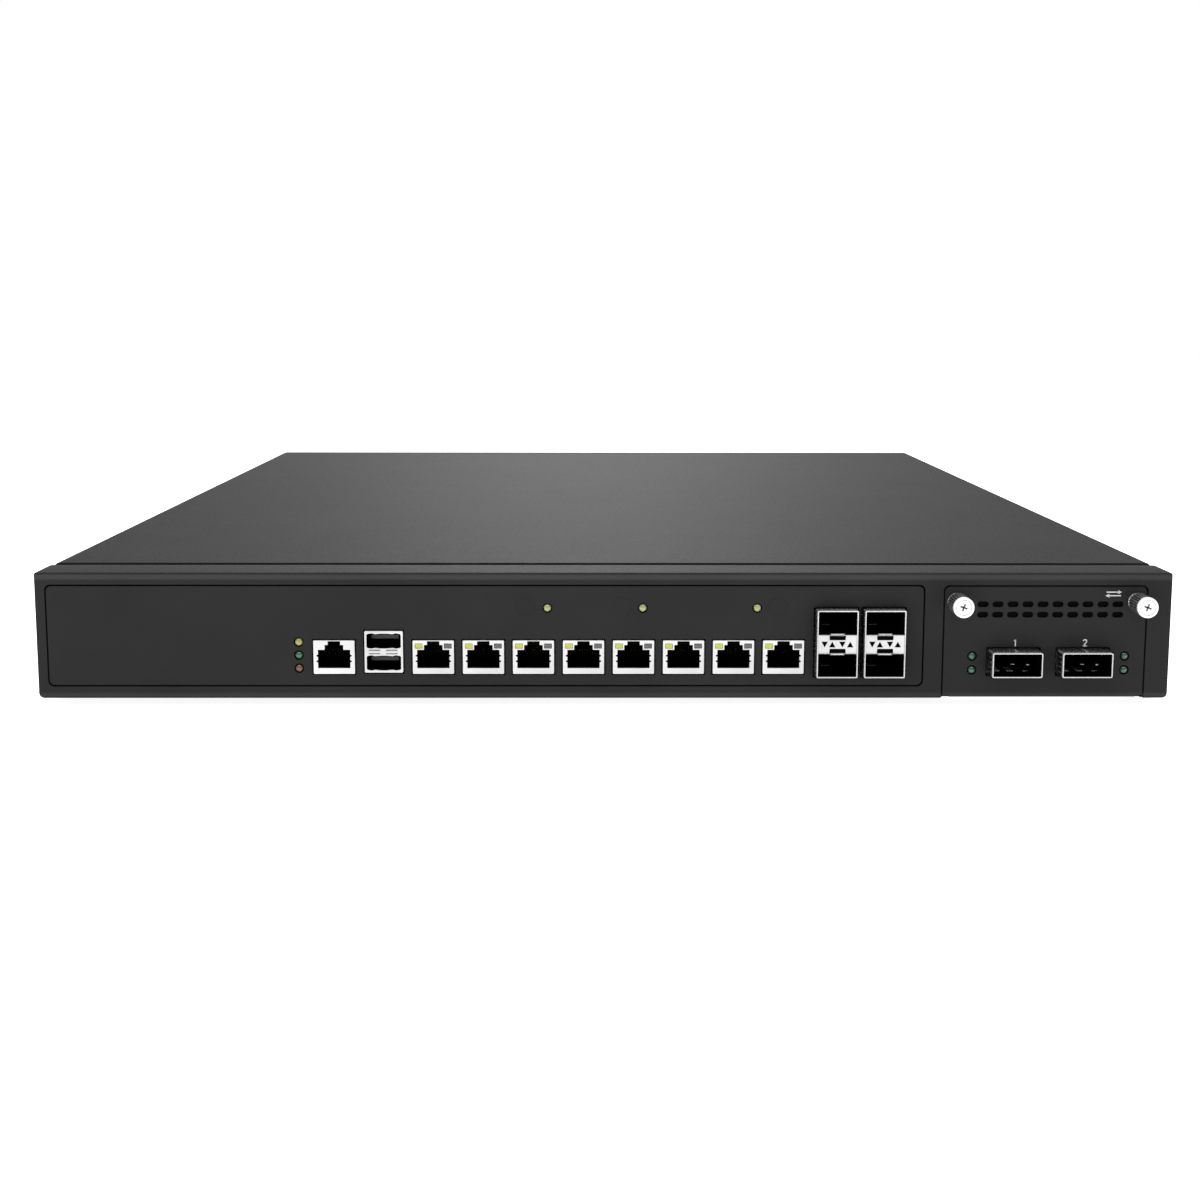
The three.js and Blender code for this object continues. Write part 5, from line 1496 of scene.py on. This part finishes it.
def fan_unit():
    """One fan's frame and rotor at its own origin, its intake at y = 0."""
    frame_shape = Shape()
    corners = [circle(dx * 16, dz * 16, 1.75, 14) for dx in (-1, 1) for dz in (-1, 1)]
    outline = rect((-20, 20), (-20, 20), 2.6, 5)
    for span in ((0, 3.4), (FAN_D - 3.4, FAN_D)):
        frame_shape.plate([outline, circle(0, 0, BORE, 48), *corners], span, bevel=0.2)
    barrel = [(BORE, 3.2), (BORE + 0.75, 3.2), (BORE + 0.75, FAN_D - 3.2), (BORE, FAN_D - 3.2), (BORE, 3.2)]
    frame_shape.turned(barrel, sides=48)
    for dx in (-1, 1):
        for dz in (-1, 1):
            post = [(15.4, 13.4), (18.6, 15), (18.6, 18.6), (15, 18.6), (13.4, 15.4)]
            points = [(dx * u, dz * v) for u, v in post]
            web = Shape().plate([points if dx * dz > 0 else points[::-1]], (3.2, FAN_D - 3.2))
            web.boolean(Shape().rod(1.9, (2, FAN_D), (dx * 16, 0, dz * 16), sides=12))
            frame_shape.add(web)
    for quarter in range(4):
        spin = Matrix.Rotation(math.radians(45 + 90 * quarter), 4, "Y")
        frame_shape.box((9.5, BORE + 0.4), (FAN_D - 2.9, FAN_D - 0.1), about(0, 1.9), 0.35, spin)
    boss = [(0, FAN_D - 3), (10, FAN_D - 3), (10, FAN_D - 0.4), (9.6, FAN_D), (0, FAN_D)]
    frame_shape.turned(boss, sides=40)
    rotor = Shape()
    hub = [(0, 2), (8.8, 2), (9.7, 2.4), (10, 3.2), (10, FAN_D - 3.6), (8.6, FAN_D - 3.6), (8.6, 22), (0, 22)]
    rotor.turned(hub, sides=40)
    rotor.turned([(6.6, 1.9), (6.9, 1.75), (7.2, 1.9), (7.2, 2.2), (6.6, 2.2), (6.6, 1.9)], sides=40)
    blades = 7
    tip = BORE - 0.9
    rows, ribs = 8, 6
    for n in range(blades):
        made = bmesh.new()
        sides = []
        for offset in (-0.45, 0.45):
            grid = []
            for i in range(ribs + 1):
                radius = 9.7 + (tip - 9.7) * i / ribs
                line = []
                for j in range(rows + 1):
                    depth = 4.2 + (FAN_D - 9.2) * j / rows
                    chord = j / rows
                    sweep = 0.62 * (chord - 0.5) + 0.16 * math.sin(math.pi * chord) + 0.1 * (i / ribs)
                    angle = math.tau * n / blades + sweep + offset / radius
                    line.append(made.verts.new((radius * math.cos(angle), depth, radius * math.sin(angle))))
                grid.append(line)
            sides.append(grid)
        low, high = sides
        for i in range(ribs):
            for j in range(rows):
                made.faces.new((low[i][j], low[i][j + 1], low[i + 1][j + 1], low[i + 1][j]))
                made.faces.new((high[i][j], high[i + 1][j], high[i + 1][j + 1], high[i][j + 1]))
        border = [(i, 0) for i in range(ribs)] + [(ribs, j) for j in range(rows)]
        border += [(i, rows) for i in range(ribs, 0, -1)] + [(0, j) for j in range(rows, 0, -1)]
        for (a, b), (c, d) in zip(border, border[1:] + border[:1]):
            made.faces.new((low[a][b], low[c][d], high[c][d], high[a][b]))
        mesh = bpy.data.meshes.new("blade")
        made.to_mesh(mesh)
        made.free()
        rotor.take(mesh)
    return frame_shape, rotor


def fans():
    first = None
    pairs = [(f"fan_frame_{i}", f"fan_rotor_{i}") for i in (1, 2, 3)] + [("psu_fan_frame", "psu_fan_rotor")]
    for case_node, rotor_node in pairs:
        x, y, z = cad(case_node)
        place = Vector((middle(x), y[0], middle(z)))
        names = ((case_node, case_node + "_housing"), (rotor_node, rotor_node + "_blades"))
        if first is None:
            first = place
            pieces = []
            for shape, (node, name) in zip(fan_unit(), names):
                bmesh.ops.translate(shape.bm, vec=place, verts=shape.bm.verts)
                pieces.append(make(name, shape, BLACK, replaces=node))
            continue
        for piece, (node, name) in zip(pieces, names):
            again(piece, name, place - first, node, BODY_OF[node])
    wires = Shape()
    for i in (1, 2, 3):
        x, y, z = cad(f"fan_frame_{i}")
        for n in range(4):
            start = (x[1] - 6 + n, y[0] + 4, z[0] + 0.6)
            bend = (start[0] + 1, start[1] - 14, start[2] - 1)
            end = (30 + 2.2 * n, 306, BOARD_TOP + 3)
            points = [start, bend, (x[1] + 2 + 1.2 * n, 470, 3.2), (20 + 2 * n, 380, 3.2)]
            points += [(end[0], end[1] + 12, end[2] + 3), end]
            wires.tube(curved([Vector(p) for p in points], 8), 0.55, 6)
    make("fan_wires", wires, BLACK)


def power_supply():
    x, y, z = cad("psu_case")
    wall = 1
    section = bent_channel(x, z[0], z[1], wall, 1.5, 0.5)
    case = Shape().plate([section], y, bevel=0.08)
    case.box(grown(x, -wall), y, (z[1] - wall, z[1]), 0.1)
    louvre = [slot(x[0] + 48 + 5 * i, middle(z), 2.6, 26, 4) for i in range(8)]
    front = rect(grown(x, -wall - 0.05), grown(z, -wall - 0.05))
    case.plate([front, *louvre], (y[0], y[0] + wall), bevel=0.08)
    rocker_x = middle(cad("power_switch")[0])
    rear_holes = guard_windows(*PSU_FAN)
    rear_holes.append(rect(about(177, 27.2), about(23, 19.6)))
    rear_holes.append(rect(about(rocker_x, 14.6), about(23, 22.6)))
    case.plate([front, *rear_holes], (y[1] - wall, y[1]), bevel=0.08)
    vents = Shape()
    for i in range(9):
        for j in range(5):
            vents.plate([slot(x[0] + 14 + 8.6 * i, y[0] + 70 + 9 * j, 6, 3, 4)], (z[1] - 2, z[1] + 1), "z")
    case.boolean(vents)
    make("psu_case_sheet", case, ZINC, replaces="psu_case")
    screws = Shape()
    for px in (x[0] + 6, x[1] - 6):
        for py in (y[0] + 8, middle(y), y[1] - 8):
            flat_screw(screws, (px, py, z[1]), "z", 2.4, 0.5)
    make("psu_case_screws", screws, NICKEL)


def mains_inlet():
    x, y, _ = cad("ac_inlet")
    deck = (cad("psu_case")[1][1] + CLEAR, cad("psu_case")[1][1] + CLEAR + 1.6)
    rocker_x = middle(cad("power_switch")[0])
    inlet_x, inlet_z = 177, 23
    mouth = [(-12.1, -8.3), (12.1, -8.3), (12.1, 4.3), (8.1, 8.3), (-8.1, 8.3), (-12.1, 4.3)]
    mouth = [(inlet_x + u, inlet_z + v) for u, v in mouth]
    well = rect(about(rocker_x, 12.6), about(inlet_z, 20.6), 0.6, 3)
    body = Shape().plate([rect(x, about(inlet_z, 27), 2, 6), mouth, well], deck, bevel=0.2)
    rim = rect(about(rocker_x, 15), about(inlet_z, 23), 1.2, 4)
    body.plate([rim, well], (deck[1] - 0.1, deck[1] + 0.8), bevel=0.2)
    outer = rect(about(inlet_x, 26.6), about(inlet_z, 19), 0.5, 2)
    body.plate([outer, mouth], (deck[1] - 16, deck[0] + 0.3))
    body.plate([outer], (y[0], deck[1] - 15.9))
    body.plate([rect(about(rocker_x, 14), about(inlet_z, 22)), well], (deck[0] - 9, deck[0] + 0.3))
    make("ac_inlet_housing", body, BLACK, replaces="ac_inlet")
    pins = Shape()
    for dx, dz in ((0, 3.5), (-7, -1.5), (7, -1.5)):
        pin = Shape().box(about(inlet_x + dx, 2), (deck[1] - 17, deck[1] - 5), about(inlet_z + dz, 4), 0.45)
        pins.add(pin)
    make("ac_inlet_pins", pins, NICKEL)


def rocker():
    """The switch, lying on one side, with a bar for on and a ring for off moulded into its face."""
    x, _, _ = cad("power_switch")
    pivot = Vector((middle(x), tray_y[1], 23))
    reach, crown, back = 9.7, 1.2, -4.5
    face = [(back, -3), (0, -reach), (crown, -reach)]
    for i in range(9):
        v = -reach + 0.4 + (2 * reach - 0.8) * i / 8
        face.append((crown - 0.55 * math.cos(math.pi / 2 * v / reach), v))
    face += [(crown, reach), (0, reach), (back, 3)]
    wedge = Shape().plate([face], (-6, 6), "x", bevel=0.25)
    tilt = Matrix.Translation(pivot) @ Matrix.Rotation(math.radians(-10), 4, "X")
    marks = Shape().box((-0.4, 0.4), (crown - 0.6, crown + 0.06), (4.2, 7.4), 0.05)
    ring = [(1.1, crown), (1.6, crown), (1.6, crown - 0.6), (1.1, crown - 0.6), (1.1, crown)]
    marks.turned(ring, (0, 0, -5.8), sides=28)
    for name, shape, material, nodes in (
        ("power_switch_rocker", wedge, BLACK, "power_switch"), ("power_switch_marks", marks, INK, ()),
    ):
        placed = Shape().add(shape, tilt)
        make(name, placed, material, body="rocker", replaces=nodes)


mainboard()
memory_modules()
storage()
power_harness()
fans()
power_supply()
mains_inlet()
rocker()

# ---------------------------------------------------------------- floor, light and camera


FLOOR_GLOW = 0.96  # the floor is a lit table


def floor():
    grid = bmesh.new()
    bmesh.ops.create_grid(grid, x_segments=1, y_segments=1, size=2.6)
    obj = added("floor", mesh_from(grid, "floor"))
    material, tree, bsdf = nodes_of("floor_paper", "rubber")
    tint = ramp(tree, noise(tree, place_node(tree), 6), (0.9, 0.9, 0.9), (0.93, 0.93, 0.93))
    glow = {"Emission Color": tint, "Emission Strength": FLOOR_GLOW}
    set_inputs(bsdf, {"Base Color": tint, "Roughness": 0.9, **glow})
    obj.data.materials.append(material)


SKY_TOP = 0.35
PANEL_SPREAD = math.radians(6)
PANEL_GAIN = 6.6
PANEL_TOP = (0.5, 0.8)
PANEL_FOOT = (0.28, 0.12)


def sky():
    """A white studio, dimmer overhead, with a bright panel standing straight behind the object."""
    world = bpy.data.worlds.new("studio")
    bpy.context.scene.world = world
    world.use_nodes = True
    tree = world.node_tree

    def math_node(*terms):
        return calculate(tree, *terms)

    def fade(value, start, end):
        """One at start, and nothing at end."""
        return spread(tree, value, 1, 0, start, end, "SMOOTHSTEP")

    direction = add_node(tree, "TexCoord", {}, "Generated")
    x, y, height = add_node(tree, "SeparateXYZ", {0: direction}).node.outputs
    spread_out = math_node("POWER", math_node("DIVIDE", math_node("ARCTAN2", x, y), PANEL_SPREAD), 2.0)
    panel = math_node("EXPONENT", math_node("MULTIPLY", spread_out, -1.0))
    for ends in (PANEL_TOP, PANEL_FOOT):
        panel = math_node("MULTIPLY", panel, fade(height, *ends))
    low = math_node("MULTIPLY", fade(height, 0.17, 0.6), 1 - SKY_TOP)
    strength = math_node("ADD", math_node("ADD", low, SKY_TOP), math_node("MULTIPLY", panel, PANEL_GAIN))
    set_inputs(tree.nodes["Background"], {"Color": (1, 1, 1, 1), "Strength": strength})


def area_light(name, place, target, size, power):
    data = bpy.data.lights.new(name, "AREA")
    data.shape = "RECTANGLE"
    data.size, data.size_y = size
    data.energy = power
    obj = added(name, data)
    obj.location = place
    obj.rotation_euler = (Vector(target) - Vector(place)).to_track_quat("-Z", "Y").to_euler()


def camera():
    """The view from a little above the front, with its place and turn in millimetres and degrees."""
    data = bpy.data.cameras.new("camera")
    data.sensor_width = 36
    data.lens = 55.36
    data.clip_end = 100
    obj = added("camera", data)
    turn = (
        Matrix.Rotation(math.radians(-0.48), 4, "Z") @ Matrix.Rotation(math.radians(90 - 9.01), 4, "X")
        @ Matrix.Rotation(math.radians(0.09), 4, "Z")
    )
    obj.matrix_world = Matrix.Translation(TO_ROW @ Vector((-7.7, -705.3, 150.7))) @ turn
    bpy.context.scene.camera = obj


floor()
sky()
area_light("ceiling", TO_ROW @ Vector((0, 200, 2600)), TO_ROW @ Vector((0, 100, 0)), (4.5, 3.5), 70)
area_light("edge_strip", TO_ROW @ Vector((0, -320, 1300)), TO_ROW @ Vector((0, 0, 30)), (1.6, 0.18), 5)
camera()
bpy.context.scene.view_settings.view_transform = "Standard"
